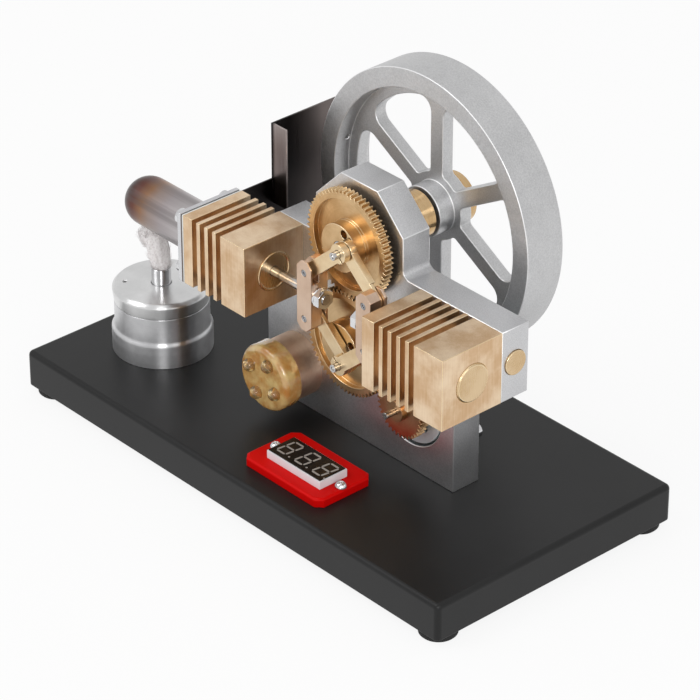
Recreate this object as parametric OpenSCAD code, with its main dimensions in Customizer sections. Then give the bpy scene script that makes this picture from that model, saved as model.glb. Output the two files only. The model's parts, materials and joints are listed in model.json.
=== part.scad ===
// Tabletop stirling engine with a rhombic drive: two finned cylinders on an upright frame plate,
// a spirit burner, a spoked flywheel, a geared generator, a lamp head and a voltmeter on a base.
// X runs along the cylinders towards the power cylinder, Y from the display to the flywheel, Z up.
// The origin lies under the middle of the base, on the plane that the rubber feet stand on.

/* [Base] */
// Length of the base plate along X
base_l = 180; // [170:1:220]
// Width of the base plate along Y
base_w = 90.6; // [86:0.2:120]
// Thickness of the base plate
base_t = 11.7; // [9:0.1:16]
// Radius of the upright corners of the base plate
base_corner_r = 1.7; // [1.2:0.1:6]
// Radius of the rounded top edge of the base plate
base_edge_r = 1.6; // [0.8:0.1:2.2]
// Diameter of a rubber foot
foot_d = 11.2; // [8:0.1:13]
// Height of a rubber foot
foot_h = 2.5; // [2:0.1:5]
// Distance from a base edge to the middle of a foot
foot_inset = 6.1; // [6:0.1:12]

/* [Frame plate] */
// Thickness of the frame plate
frame_t = 10; // [9.5:0.1:12]
// Place along Y of the front face of the frame plate
frame_y = -4; // [-6:0.1:-3]
// Half the width of the leg of the frame plate
leg_half_w = 39.5; // [39:0.1:42]
// Distance from the crank axes to the left end of the frame arm
left_arm_l = 33.8; // [32:0.1:36]
// Width across the flats of the eight-sided frame head
head_flats = 36.4; // [35:0.1:40]
// Radius of the fillets between the frame head and the arms
head_fillet_r = 2.6; // [1:0.1:4]

/* [Crank drive] */
// Place along X of both crank axes
crank_x = 12.5; // [11:0.1:14]
// Number of teeth on each of the two large gears
gear_teeth = 64; // [60:2:68]
// Number of teeth on the generator gear
pinion_teeth = 35; // [33:1:37]
// Gear module, the pitch diameter for each tooth
gear_module = 0.5; // [0.49:0.005:0.52]
// Face width of the large gears
gear_t = 2.9; // [2.4:0.1:3.4]
// Thickness of the recessed web of the large gears
gear_web_t = 1.2; // [1:0.1:1.8]
// Width of the gear rim measured inwards from the roots of the teeth
gear_rim_w = 1.7; // [1:0.1:3]
// Gap between the frame plate and the back of the large gears
gear_gap = 1.9; // [1:0.1:2.2]
// Diameter of the gear hub and of the crank disc on it
crank_disc_d = 14.6; // [13.6:0.1:15.4]
// Thickness of the crank disc
crank_disc_t = 3.6; // [2.4:0.1:4]
// Length of the gear hub from the back of the gear
gear_hub_l = 2.1; // [1.8:0.1:2.8]
// Throw of the cranks
crank_r = 5.5; // [5:0.1:5.7]
// Angle of the upper crank above the X axis in the pose shown
crank_phase = 22; // [18:0.5:30]
// Diameter of both crank shafts
shaft_d = 4; // [3:0.1:4.4]
// Diameter of a crank pin
crank_pin_d = 2.4; // [1.8:0.1:2.8]
// Length of a crank pin in front of its rod
crank_pin_proud = 2; // [1:0.1:2.4]

/* [Rods and yokes] */
// Distance between the two holes of a connecting rod
rod_l = 16.3; // [15.5:0.1:17]
// Thickness of a connecting rod
rod_t = 2.2; // [2:0.1:2.6]
// Width of the shank of a connecting rod
rod_w = 4.5; // [4:0.1:5]
// Diameter of the large end of a connecting rod
rod_eye_d = 6; // [5:0.1:6.4]
// Diameter of the small end of a connecting rod
rod_tongue_d = 4.4; // [3.6:0.1:4.8]
// Distance from the small end to the shoulder of a rod
rod_shoulder = 4.4; // [4.2:0.1:5]
// Half the distance between the two pivots of a yoke
pivot_half = 7.4; // [7:0.1:7.8]
// Height of a yoke
yoke_h = 22.4; // [22:0.1:23]
// Width of a yoke along X
yoke_w = 6; // [5.4:0.1:6]
// Thickness of a yoke along Y
yoke_t = 6.4; // [6.2:0.05:6.6]
// Chamfer on the ends of a yoke
yoke_chamfer = 1.9; // [1:0.1:2.2]
// Diameter of a yoke pivot screw
pivot_d = 2; // [1.6:0.1:2.2]
// Diameter of the displacer rod and of the piston rod
slide_rod_d = 3; // [2.6:0.1:3.2]

/* [Cylinder blocks] */
// Height of the cylinder axis above the base plate
axis_h = 49.3; // [47:0.1:53]
// Height and depth of both square cylinder blocks
block_s = 22.2; // [22:0.1:23]
// Length of the displacer cylinder block
displacer_block_l = 26.7; // [26:0.1:29]
// Distance from the crank axes to the right face of the displacer block
displacer_block_gap = 23.6; // [23.2:0.1:26]
// Length of the power cylinder block
power_block_l = 32.2; // [31.6:0.1:32.8]
// Distance from the crank axes to the left face of the power block
power_block_gap = 25.7; // [25.5:0.1:28]
// Width of a groove between the cooling fins
groove_w = 2.05; // [1.8:0.05:2.15]
// Thickness of a cooling fin
fin_t = 1.45; // [1:0.05:1.6]
// Depth of the grooves between the fins
groove_depth = 3; // [2:0.1:3.2]
// Number of thin fins on the displacer block
displacer_fins = 3; // [1:1:3]
// Number of thin fins on the power block
power_fins = 4; // [1:1:4]
// Thickness of the end plate of the displacer block
displacer_lip = 3.8; // [3:0.1:4.2]
// Thickness of the end plate of the power block
power_lip = 4.8; // [3:0.1:5]
// Diameter of the bore for the displacer
displacer_bore_d = 14; // [13.6:0.1:14.4]
// Diameter of the gland bush
gland_d = 12; // [10:0.1:12.4]
// Length of the gland bush
gland_l = 6.4; // [5:0.1:6.6]
// Outer diameter of the cylinder liner
liner_d = 13; // [12.4:0.1:13.4]
// Bore of the cylinder liner
liner_bore_d = 11; // [10:0.1:11.4]
// Length of the cylinder liner
liner_l = 24; // [23.6:0.1:24.4]
// Diameter of the round plug in the end of the power block
cylinder_plug_d = 11.6; // [10:0.1:12.8]
// Length of the round plug in the end of the power block
cylinder_plug_l = 5; // [3:0.1:5.4]

/* [Hot end] */
// Outer diameter of the hot cap
cap_d = 15; // [14.8:0.1:15.6]
// Wall of the hot cap
cap_wall = 0.5; // [0.3:0.05:0.6]
// Length of the straight part of the hot cap outside its flange
cap_l = 26; // [25:0.1:30]
// Thickness of the flange of the hot cap
cap_flange_t = 1.5; // [1:0.1:2.5]
// Thickness of the white gasket
gasket_t = 0.5; // [0.3:0.1:1]
// Thickness of the heat shield sheet
shield_t = 0.6; // [0.4:0.1:1]
// Height of the tall part of the heat shield above the cylinder axis
shield_rise = 28.4; // [26:0.1:34]
// Distance that the heat shield reaches behind the frame plate
shield_reach = 30; // [20:0.5:32]
// Distance from the back of the frame plate to the folded lip of the heat shield
shield_offset = 2.2; // [1:0.1:4]
// Width of the folded lip of the heat shield
shield_lip = 6.6; // [4:0.1:8]
// Length of the straight part of the displacer
displacer_l = 31.4; // [30:0.1:32]

/* [Flywheel] */
// Diameter of the flywheel
fly_d = 86; // [80:0.5:92]
// Width of the flywheel rim
fly_t = 13.6; // [12:0.1:16]
// Radial thickness of the flywheel rim
fly_rim_w = 6.1; // [4:0.1:7]
// Distance from the back of the frame plate to the flywheel
fly_gap = 13.8; // [13:0.1:16]
// Thickness of the spokes along Y
spoke_t = 4.1; // [3:0.1:8]
// Width of a spoke
spoke_w = 5; // [4:0.1:7]
// Number of spokes
spokes = 6; // [5:1:8]
// Diameter of the flywheel hub
fly_hub_d = 15.6; // [15:0.1:18]
// Distance from the front of the rim back to the spokes
spoke_inset = 5.5; // [3:0.1:7]
// Width of the flat ring between the rim and the windows
window_land = 3.6; // [2:0.1:6]
// Radius of the window corners next to the rim
window_rim_r = 4; // [1:0.1:5]
// Radius of the window corners next to the hub
window_hub_r = 1.4; // [0.5:0.1:2]
// Diameter of the bearing housing behind the frame plate
housing_d = 14.4; // [13.6:0.1:15]
// Diameter of the brass collar behind the flywheel
fly_collar_d = 15.4; // [12:0.1:18]
// Thickness of the brass collar behind the flywheel
fly_collar_t = 3.2; // [2.6:0.1:6]

/* [Generator and lamp] */
// Diameter of the generator can
generator_d = 24.4; // [22:0.1:24.8]
// Length of the generator can
generator_l = 12.3; // [10:0.1:16]
// Horizontal distance from the crank axes to the generator axis
generator_dx = 21.6; // [20.6:0.1:22.4]
// Diameter of the generator shaft
generator_shaft_d = 2; // [1.6:0.1:2.4]
// Diameter of the hub of the generator gear
pinion_hub_d = 6.5; // [5:0.1:8]
// Diameter of the lamp head
lamp_d = 19.4; // [16:0.1:20]
// Length of the metal body of the lamp head
lamp_body_l = 8.6; // [7:0.1:10]
// Length of the clear lens of the lamp head
lamp_lens_l = 5.8; // [4:0.1:7]
// Distance from the crank axes to the middle of the lamp
lamp_dx = 25.3; // [24.6:0.1:27]
// Height of the middle of the lamp above the base plate
lamp_h = 13.9; // [12:0.1:16]
// Number of lamp diodes
leds = 4; // [3:1:6]

/* [Display] */
// Length of the display plate
display_l = 33; // [31:0.1:40]
// Width of the display plate
display_w = 20.6; // [18:0.1:21]
// Thickness of the display plate
display_t = 2.8; // [2:0.1:4]
// Place along X of the middle of the display plate
display_x = 17; // [14:0.1:20]
// Place along Y of the middle of the display plate
display_y = -27.6; // [-30:0.1:-26]
// Distance from the middle of the display plate to the middle of the voltmeter along X
meter_dx = 0.8; // [0:0.1:1]
// Distance from the middle of the display plate to the middle of the voltmeter along Y
meter_dy = -0.9; // [-1.5:0.1:0]
// Length of the voltmeter
meter_l = 22.6; // [20:0.1:23]
// Width of the voltmeter
meter_w = 10.4; // [9:0.1:11]
// Height of the voltmeter above the display plate
meter_h = 2.6; // [1.5:0.1:5]

/* [Burner] */
// Place along X of the burner
burner_x = -65.7; // [-68:0.1:-64]
// Place along Y of the burner
burner_y = -12.4; // [-14:0.1:-12]
// Diameter of the foot of the burner
burner_d = 30.4; // [28:0.1:32]
// Diameter of the upper part of the burner
burner_neck_d = 28.6; // [26:0.1:29]
// Height of the burner from its foot to the top of its lid
burner_h = 21.4; // [20:0.1:24]
// Outer diameter of the wick tube
wick_tube_d = 5.9; // [5:0.1:7]
// Height of the wick tube above the lid
wick_tube_rise = 5.2; // [4:0.1:8]
// Diameter of the wick above its tube
wick_d = 6.9; // [5.8:0.1:7.6]
// Gap between the wick and the hot cap
wick_gap = 1.5; // [0.8:0.1:3]

/* [Hidden] */

// Sides of the drawn circles, all of which stand for true circles
$fn = 64;
// Sides of the circles inside a hull
hull_fn = 32;
// Length by which a cut runs past the face that it opens
cut = 1;
// Radial clearance of a shaft, rod or pin that turns or slides in its hole
run_clear = 0.04;
// Radial clearance of a piece that is fixed in its hole
fit_clear = 0.05;
// Gap between pieces of the drive that pass each other
pass_gap = 0.3;
// Gap between two fixed faces that only just don't touch
seat_gap = 0.05;

// Height of the top face of the base plate
base_top = foot_h + base_t;
// Height of the cylinder axis
axis_z = base_top + axis_h;
// Place along Y of the cylinder axis
axis_y = frame_y - block_s / 2;
// Place along Y of the back face of the frame plate
frame_back_y = frame_y + frame_t;
// Pitch radius of the large gears, which is half their centre distance
gear_pitch_r = gear_teeth * gear_module / 2;
// Heights of the two crank axes
upper_z = axis_z + gear_pitch_r;
lower_z = axis_z - gear_pitch_r;
// Pitch radius of the generator gear
pinion_pitch_r = pinion_teeth * gear_module / 2;

// Proportions of a gear tooth, in modules
addendum_share = 0.95;
dedendum_share = 1.2;
// Angle of the tooth flanks
pressure_angle = 20;
// Play between meshed teeth, measured along the pitch circle
gear_backlash = 0.12;
gear_root_r = gear_pitch_r - dedendum_share * gear_module;
gear_rim_inner_r = gear_root_r - gear_rim_w;

// Places along Y of the layers of the drive, from the frame plate forwards
gear_back_y = frame_y - gear_gap;
gear_front_y = gear_back_y - gear_t;
hub_front_y = gear_back_y - gear_hub_l;
disc_front_y = hub_front_y - crank_disc_t;
rear_rod_y = disc_front_y - pass_gap;
front_rod_y = rear_rod_y - rod_t - pass_gap;
// Thickness of the thin tongue of a rod, and the play beside it in its slot
tongue_t = 1.2;
tongue_play = 0.15;
// Extra width of the front slot of a yoke, in front of its tongue
front_slot_extra = 0.9;
yoke_back_y = axis_y + yoke_t / 2;

// Place of the upper crank pin from its crank axis
pin_dx = crank_r * cos(crank_phase);
pin_dz = crank_r * sin(crank_phase);
// Height and run of a connecting rod between its yoke pivot and its crank pin
rod_rise = gear_pitch_r - pivot_half + pin_dz;
rod_run = sqrt(rod_l * rod_l - rod_rise * rod_rise);
rod_angle = atan2(rod_rise, rod_run);
displacer_yoke_x = crank_x + pin_dx - rod_run;
piston_yoke_x = crank_x + pin_dx + rod_run;

// Second hole of a crank disc, turned from the crank pin
disc_hole_turn = 46;
disc_hole_d = 2.5;
// Bearings
bearing_d = 10;
bearing_w = 4;
bearing_groove_w = 0.5;
bearing_groove_depth = 0.3;
bearing_race_r = 3;
bearing_shield_r = 4.1;

// Screws
screw_d = 3;
screw_head_d = 5.5;
screw_head_h = 3;
hex_key_d = 2.9;
hex_key_depth = 1.4;
back_screw_depth = 4;
frame_screw_d = 4;
frame_screw_head_d = 7;
frame_screw_head_h = 4;
frame_screw_depth = 10;
frame_screw_spread = 33;
hex_sides = 6;

// Displacer cylinder
displacer_block_x1 = crank_x - displacer_block_gap;
displacer_block_x0 = displacer_block_x1 - displacer_block_l;
gland_x0 = displacer_block_x1 - gland_l;
gland_lip_w = 0.7;
gland_recess = 0.3;
shield_x1 = displacer_block_x0 - gasket_t;
flange_x1 = shield_x1 - shield_t;
flange_x0 = flange_x1 - cap_flange_t;
cap_end_x = flange_x0 - cap_l;
cap_bore_r = cap_d / 2 - cap_wall;
cap_screw_d = 2.5;
cap_screw_head_d = 4.6;
cap_screw_head_h = 1.7;
cap_washer_d = 5.4;
cap_washer_t = 0.5;
cap_screw_depth = displacer_lip - cut;
// Distance from the gland to the displacer in the pose shown
displacer_back_gap = 1.6;
displacer_clear = 0.4;
displacer_r = displacer_bore_d / 2 - displacer_clear;
displacer_x1 = gland_x0 - displacer_back_gap;
displacer_x0 = displacer_x1 - displacer_l;
displacer_wall = 0.6;
displacer_plug_l = 6;
displacer_rod_hold = 5;

// Power cylinder
power_block_x0 = crank_x + power_block_gap;
power_block_x1 = power_block_x0 + power_block_l;
right_arm_l = power_block_x1 - crank_x;
liner_inset = 0.4;
liner_x0 = power_block_x0 + liner_inset;
liner_x1 = liner_x0 + liner_l;
cylinder_plug_proud = 0.5;
cylinder_plug_x0 = power_block_x1 - cylinder_plug_l;
cylinder_plug_chamfer = 0.4;
piston_l = 9;
piston_rear_gap = 11.6;
piston_x0 = liner_x0 + piston_rear_gap;
piston_groove_w = 0.6;
piston_groove_depth = 0.4;
piston_grooves = 3;
piston_rod_hold = 5;

// Air passage between the cylinders
passage_d = 3;
passage_y = frame_y + frame_t / 2;
port_d = 2.4;
displacer_port_x = gland_x0 - port_d / 2 - displacer_clear;
power_port_x = (liner_x1 + cylinder_plug_x0) / 2;
passage_plug_d = 7.5;
passage_plug_l = 5;
passage_plug_proud = 0.4;
// Block screws sit above and below the cylinder axis
screw_edge_wall = 0.9;
block_screw_spread = block_s / 2 - screw_head_d / 2 - fit_clear - screw_edge_wall;
// Depth of the counterbores for the screw heads behind the frame plate
head_sink = screw_head_h + fit_clear;
displacer_screw_x = displacer_block_x1 - screw_d;
power_screw_x = power_block_x1 - screw_d * 1.8;

// Nuts on the slide rods
nut_flats = 5.5;
nut_t = 2.2;
nut_washer_d = 6;
nut_washer_t = 0.5;
rod_end_proud = 0.3;
slide_rod_seat = 0.4;

// Heat shield
shield_front_y = frame_y - block_s;
shield_lip_y = frame_back_y + shield_offset;
// Drop of the shield's low edge below the top of the block
shield_sink = 0.7;
shield_lip_drop = 4;
shield_tall_y1 = frame_back_y + shield_reach;

// Flywheel
fly_y0 = frame_back_y + fly_gap;
fly_y1 = fly_y0 + fly_t;
fly_web_y0 = fly_y0 + spoke_inset;
fly_hub_l = 10.8;
fly_rim_r = fly_d / 2 - fly_rim_w;
fly_window_r1 = fly_rim_r - window_land;
hub_land = 2.6;
fly_window_r0 = fly_hub_d / 2 + hub_land;
fly_shaft_proud = 2;
fly_collar_gap = 0.3;
fly_collar_y0 = fly_y0 + fly_hub_l + fly_collar_gap;
balance_hole_d = 1.6;
balance_hole_depth = 2;
balance_hole_turn = 167;
balance_hole_inset = 1.3;
housing_gap = 0.9;
housing_spigot_d = 13;
housing_y1 = fly_y0 - housing_gap;
main_shaft_y1 = fly_collar_y0 + fly_collar_t + fly_shaft_proud;
// Smaller collar behind the lower bearings
collar_d = 9;
collar_t = 4;
collar_y0 = frame_back_y + pass_gap;
lower_shaft_y1 = collar_y0 + collar_t + fly_shaft_proud / 2;

// Generator
generator_x = crank_x + generator_dx;
pinion_distance = gear_pitch_r + pinion_pitch_r;
generator_z = lower_z - sqrt(pinion_distance * pinion_distance - generator_dx * generator_dx);
generator_inset = 0.7;
generator_y0 = frame_y + generator_inset;
// Gap around the generator in its hole in the frame plate
generator_gap = 0.7;
generator_flange_t = 1.2;
generator_flange_d = 30;
generator_lug_d = 6;
generator_lug_r = 15.5;
generator_lug_turns = [-30, 150];
generator_screw_depth = 6;
generator_wall = 0.8;
generator_boss_d = 6;
generator_boss_l = 0.9;
generator_hole_d = 1.8;
generator_hole_r = 8.2;
generator_hole_turn = -48;
generator_rear_gap = 1.5;
armature_d = 15;
pinion_hub_l = 1.9;
generator_shaft_proud = 3.7;
pinion_back_y = gear_back_y + gear_gap / 3;

// Lamp
lamp_x = crank_x - lamp_dx;
lamp_z = base_top + lamp_h;
lamp_back_wall = 5;
lamp_wall = 1;
lamp_lens_lip = 0.7;
lamp_lens_round = 1.8;
led_d = 4;
led_ring_r = 6;
led_turn = 65;
led_sink = 3;
led_rise = 0.4;

// Display
meter_x = display_x + meter_dx;
meter_y = display_y + meter_dy;
display_chamfer = 2;
display_bevel = 0.5;
meter_face_t = 0.3;
meter_face_inset = 0.35;
digits = 3;
digit_w = 4.3;
digit_h = 7.1;
digit_pitch = 7.5;
digit_lean = 0.12;
digit_shift = 0.4;
point_gap = 1.4;
segment_w = 0.6;
segment_t = 0.12;
segment_gap = 0.2;
display_screw_d = 2;
display_screw_head_d = 3.6;
display_screw_head_h = 1.7;
display_screw_gap = 2.6;
display_screw_dy = 0.4;
display_screw_depth = 6;
slot_w = 0.5;
slot_depth = 0.5;

// Burner
burner_foot_h = 7;
burner_ledge_h = 1.6;
burner_lid_h = 5.2;
burner_lid_flare = 0.5;
burner_lid_bevel = 1.1;
burner_wall = 1.5;
burner_plug_l = 2.5;
burner_vent_d = 1.2;
burner_vent_r = 10.9;
burner_vent_turn = 227;
wick_tube_wall = 0.35;
wick_tube_depth = 8;
wick_clear = 0.1;
wick_top_z = axis_z - cap_d / 2 - wick_gap;

// Base plate fits
foot_grip = 0.6;
base_hole_d = 2.5;

// Cylinder along Y between two places
module along_y(y0, y1, r) {
    translate([0, y0, 0])
        rotate([-90, 0, 0])
            cylinder(h = y1 - y0, r = r);
}

// Cylinder along X between two places
module along_x(x0, x1, r) {
    translate([x0, 0, 0])
        rotate([0, 90, 0])
            cylinder(h = x1 - x0, r = r);
}

// Cylinder along X with a round left end
module domed_x(x0, x1, r) {
    along_x(x0, x1, r);
    translate([x0, 0, 0])
        sphere(r);
}

// Holes that run past both places
module hole_y(y0, y1, r) {
    along_y(y0 - cut, y1 + cut, r);
}

module hole_x(x0, x1, r) {
    along_x(x0 - cut, x1 + cut, r);
}

// Ring along Y between two places
module ring_y(y0, y1, outer_r, inner_r) {
    difference() {
        along_y(y0, y1, outer_r);
        hole_y(y0, y1, inner_r);
    }
}

// Flat shape drawn in X and Z, with its thickness along Y
module plate_y(y0, y1) {
    translate([0, y1, 0])
        rotate([90, 0, 0])
            linear_extrude(y1 - y0)
                children();
}

// Flat shape drawn in Y and Z, with its thickness along X
module plate_x(x0, x1) {
    translate([x0, 0, 0])
        rotate([90, 0, 90])
            linear_extrude(x1 - x0)
                children();
}

// Rectangle with cut corners, from its half sizes
module cut_rectangle(w, h, c) {
    polygon([[-w + c, -h], [w - c, -h], [w, -h + c], [w, h - c], [w - c, h], [-w + c, h], [-w, h - c],
        [-w, -h + c]]);
}

// Moves its children onto the cylinder axis
module on_cylinder_axis() {
    translate([0, axis_y, axis_z])
        children();
}

// Moves its children onto the crank axis at height z
module at_crank(z) {
    translate([crank_x, 0, z])
        children();
}

// Moves its children onto the generator axis
module on_generator_axis() {
    translate([generator_x, 0, generator_z])
        children();
}

// Six-sided hole along Y for a key, drawn from its mouth inwards
module key_hole_y(y_mouth, flats, depth) {
    translate([0, y_mouth, 0])
        rotate([-90, 0, 0])
            cylinder(h = depth, r = flats / 2, $fn = hex_sides);
}

// Socket-head screw along Y, its head starting at y_head and its shank pointing forwards
module socket_screw_y(y_head, d, head_d, head_h, length) {
    difference() {
        union() {
            along_y(y_head, y_head + head_h, head_d / 2);
            along_y(y_head - length, y_head, d / 2);
        }
        key_hole_y(y_head + head_h - hex_key_depth, hex_key_d, hex_key_depth + cut);
    }
}

// Outline of a straight-flanked spur gear with a tooth centred on the angle phase
function gear_outline(teeth, phase) =
    let (
        pitch_r = teeth * gear_module / 2,
        tip_r = pitch_r + addendum_share * gear_module,
        root_r = pitch_r - dedendum_share * gear_module,
        half_w = PI * gear_module / 4 - gear_backlash / 2,
        half_tip = half_w - addendum_share * gear_module * tan(pressure_angle),
        half_root = half_w + dedendum_share * gear_module * tan(pressure_angle),
        tip_turn = half_tip / tip_r * 180 / PI,
        root_turn = half_root / root_r * 180 / PI
    )
    [for (i = [0 : teeth - 1])
        for (corner = [[root_r, -root_turn], [tip_r, -tip_turn], [tip_r, tip_turn], [root_r, root_turn]])
            let (a = phase + i * 360 / teeth + corner[1])
            [corner[0] * cos(a), corner[0] * sin(a)]];

// Angles that bring the three gears into mesh
upper_phase = -90;
lower_phase = 90 + 180 / gear_teeth;
contact_angle = atan2(generator_z - lower_z, generator_dx);
pinion_phase = contact_angle + 180 + 180 / pinion_teeth
    - (lower_phase - contact_angle) * gear_teeth / pinion_teeth;

// Corner places of the base, as signs of X and Y
corner_signs = [for (sx = [-1, 1]) for (sy = [-1, 1]) [sx, sy]];

// Slab of the base plate with rounded upright corners and a rounded top edge
module base_slab() {
    r = max(base_corner_r, base_edge_r);
    hull()
        for (s = corner_signs)
            translate([s[0] * (base_l / 2 - r), s[1] * (base_w / 2 - r), foot_h])
                rotate_extrude($fn = hull_fn) {
                    square([r, base_t - base_edge_r]);
                    intersection() {
                        translate([r - base_edge_r, base_t - base_edge_r])
                            circle(base_edge_r, $fn = hull_fn);
                        square([r, base_t]);
                    }
                }
}

// Places its children at the two display screws
module at_display_screws() {
    for (s = [-1, 1])
        translate([meter_x + s * (meter_l / 2 + display_screw_gap), meter_y + display_screw_dy, 0])
            children();
}

// Black coated metal plate that carries everything
module base_plate() {
    color("#1c1c1d")
        difference() {
            base_slab();
            for (s = [-1, 1]) {
                translate([crank_x + s * frame_screw_spread, passage_y, foot_h - cut]) {
                    cylinder(h = base_t + 2 * cut, r = frame_screw_d / 2 + fit_clear);
                    cylinder(h = frame_screw_head_h + cut + seat_gap, r = frame_screw_head_d / 2 + fit_clear);
                }
            }
            at_display_screws()
                translate([0, 0, base_top - display_screw_depth + display_t])
                    cylinder(h = display_screw_depth, r = display_screw_d / 2 + fit_clear);
        }
}

// Four round rubber feet with a bevelled lower edge
module rubber_feet() {
    bevel = foot_grip;
    color("#141414")
        for (s = corner_signs)
            translate([s[0] * (base_l / 2 - foot_inset), s[1] * (base_w / 2 - foot_inset), 0])
                rotate_extrude()
                    polygon([[0, 0], [foot_d / 2 - bevel, 0], [foot_d / 2, bevel], [foot_d / 2, foot_h],
                        [0, foot_h]]);
}

// Two cap screws that hold the frame plate from under the base
module frame_screws() {
    color("#8f9092")
        for (s = [-1, 1])
            translate([crank_x + s * frame_screw_spread, passage_y, foot_h])
                difference() {
                    union() {
                        cylinder(h = frame_screw_head_h, r = frame_screw_head_d / 2);
                        cylinder(h = base_t + frame_screw_depth - cut, r = frame_screw_d / 2);
                    }
                    translate([0, 0, -cut])
                        cylinder(h = cut + hex_key_depth, r = hex_key_d / 2, $fn = hex_sides);
                }
}

// Outline of the upright frame plate in X and Z
module frame_outline() {
    arm_bottom = axis_z - block_s / 2;
    arm_top = axis_z + block_s / 2;
    translate([crank_x - leg_half_w, base_top])
        square([2 * leg_half_w, arm_bottom - base_top]);
    translate([crank_x - left_arm_l, arm_bottom])
        square([left_arm_l + right_arm_l, block_s]);
    translate([crank_x - head_flats / 2, axis_z])
        square([head_flats, upper_z - axis_z]);
    translate([crank_x, upper_z])
        rotate(180 / 8)
            circle(r = head_flats / 2 / cos(180 / 8), $fn = 8);
    for (s = [-1, 1])
        difference() {
            translate([crank_x + s * (head_flats + head_fillet_r) / 2, arm_top + head_fillet_r / 2])
                square(head_fillet_r + 2 * seat_gap, center = true);
            translate([crank_x + s * (head_flats / 2 + head_fillet_r), arm_top + head_fillet_r])
                circle(head_fillet_r);
        }
}

// Places along X of the block screws, each used above and below the cylinder axis
block_screw_places = [for (x = [displacer_screw_x, power_screw_x]) for (s = [-1, 1]) [x, s]];

// Places its children at the four block screws and the lamp screw
module at_back_screws() {
    for (p = block_screw_places)
        translate([p[0], 0, axis_z + p[1] * block_screw_spread])
            children();
    translate([lamp_x, 0, lamp_z])
        children();
}

// Places its children at the two lugs of the generator flange
module at_generator_lugs() {
    on_generator_axis()
        for (turn = generator_lug_turns)
            translate([generator_lug_r * cos(turn), 0, generator_lug_r * sin(turn)])
                children();
}

// Upright plate that carries the cylinders, the shafts, the generator and the lamp
module frame_plate() {
    color("#b9bbbd")
        difference() {
            plate_y(frame_y, frame_back_y)
                frame_outline();
            at_crank(upper_z)
                hole_y(frame_y, frame_back_y, housing_spigot_d / 2 + fit_clear);
            at_crank(lower_z)
                hole_y(frame_y, frame_back_y, bearing_d / 2 + fit_clear);
            on_generator_axis()
                hole_y(frame_y, frame_back_y, generator_d / 2 + generator_gap);
            at_generator_lugs()
                along_y(frame_back_y - generator_screw_depth, frame_back_y + cut,
                    cap_screw_d / 2 + fit_clear);
            translate([0, passage_y, axis_z]) {
                along_x(displacer_port_x, power_block_x1 + cut, passage_d / 2);
                along_x(power_block_x1 - passage_plug_l, power_block_x1 + cut,
                    passage_plug_d / 2 + fit_clear);
            }
            for (x = [displacer_port_x, power_port_x])
                translate([x, 0, axis_z])
                    along_y(frame_y - cut, passage_y, port_d / 2);
            at_back_screws() {
                hole_y(frame_y, frame_back_y, screw_d / 2 + fit_clear);
                along_y(frame_back_y - head_sink, frame_back_y + cut, screw_head_d / 2 + fit_clear);
            }
            for (s = [-1, 1])
                translate([crank_x + s * frame_screw_spread, passage_y, base_top - cut])
                    cylinder(h = frame_screw_depth + cut, r = frame_screw_d / 2 + fit_clear);
        }
}

// Square block from x0 to x1 with grooves that start behind an end plate
module finned_block(x0, x1, lip, fins) {
    on_cylinder_axis()
        difference() {
            plate_x(x0, x1)
                square(block_s, center = true);
            for (i = [0 : fins])
                translate([x0 + lip + i * (groove_w + fin_t), 0, 0])
                    plate_x(0, groove_w)
                        difference() {
                            square(block_s + cut, center = true);
                            square(block_s - 2 * groove_depth, center = true);
                        }
        }
}

// Blind holes for the two screws that hold a block to the frame plate
module block_screw_holes(x) {
    for (s = [-1, 1])
        translate([x, 0, axis_z + s * block_screw_spread])
            along_y(frame_y - back_screw_depth - seat_gap, frame_y + cut, screw_d / 2 + fit_clear);
}

// Places of the four hot cap screws, as signs of Y and Z
cap_screw_inset = 3.1;
cap_screw_reach = block_s / 2 - cap_screw_inset;

module at_cap_screws() {
    on_cylinder_axis()
        for (s = corner_signs)
            translate([0, s[0] * cap_screw_reach, s[1] * cap_screw_reach])
                children();
}

// Finned brass block around the cold end of the displacer
module displacer_block() {
    color("#d0a468")
        difference() {
            finned_block(displacer_block_x0, displacer_block_x1, displacer_lip, displacer_fins);
            on_cylinder_axis() {
                along_x(displacer_block_x0 - cut, gland_x0, displacer_bore_d / 2);
                along_x(gland_x0 - seat_gap, displacer_block_x1 + cut, gland_d / 2 + fit_clear);
            }
            translate([displacer_port_x, 0, axis_z])
                along_y(axis_y, frame_y + cut, port_d / 2);
            block_screw_holes(displacer_screw_x);
            at_cap_screws()
                along_x(displacer_block_x0 - cut, displacer_block_x0 + cap_screw_depth + seat_gap,
                    cap_screw_d / 2 + fit_clear);
        }
}

// Finned brass block around the power cylinder
module power_block() {
    color("#d0a468")
        difference() {
            finned_block(power_block_x0, power_block_x1, power_lip, power_fins);
            on_cylinder_axis() {
                along_x(power_block_x0 - cut, cylinder_plug_x0 - seat_gap, liner_d / 2 + fit_clear);
                hole_x(cylinder_plug_x0, power_block_x1, cylinder_plug_d / 2 + fit_clear);
            }
            translate([power_port_x, 0, axis_z])
                along_y(axis_y, frame_y + cut, port_d / 2);
            block_screw_holes(power_screw_x);
        }
}

// Five equal cap screws, sunk in the back of the frame plate: four for the blocks and one for the lamp
module back_screws() {
    y_head = frame_back_y - screw_head_h;
    color("#8f9092")
        at_back_screws()
            socket_screw_y(y_head, screw_d, screw_head_d, screw_head_h, y_head - frame_y + back_screw_depth);
}

// Brass plug that closes the air passage at the right end of the frame plate
module passage_plug() {
    color("#c79a54")
        translate([0, passage_y, axis_z])
            along_x(power_block_x1 - passage_plug_l + seat_gap, power_block_x1 + passage_plug_proud,
                passage_plug_d / 2);
}

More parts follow.
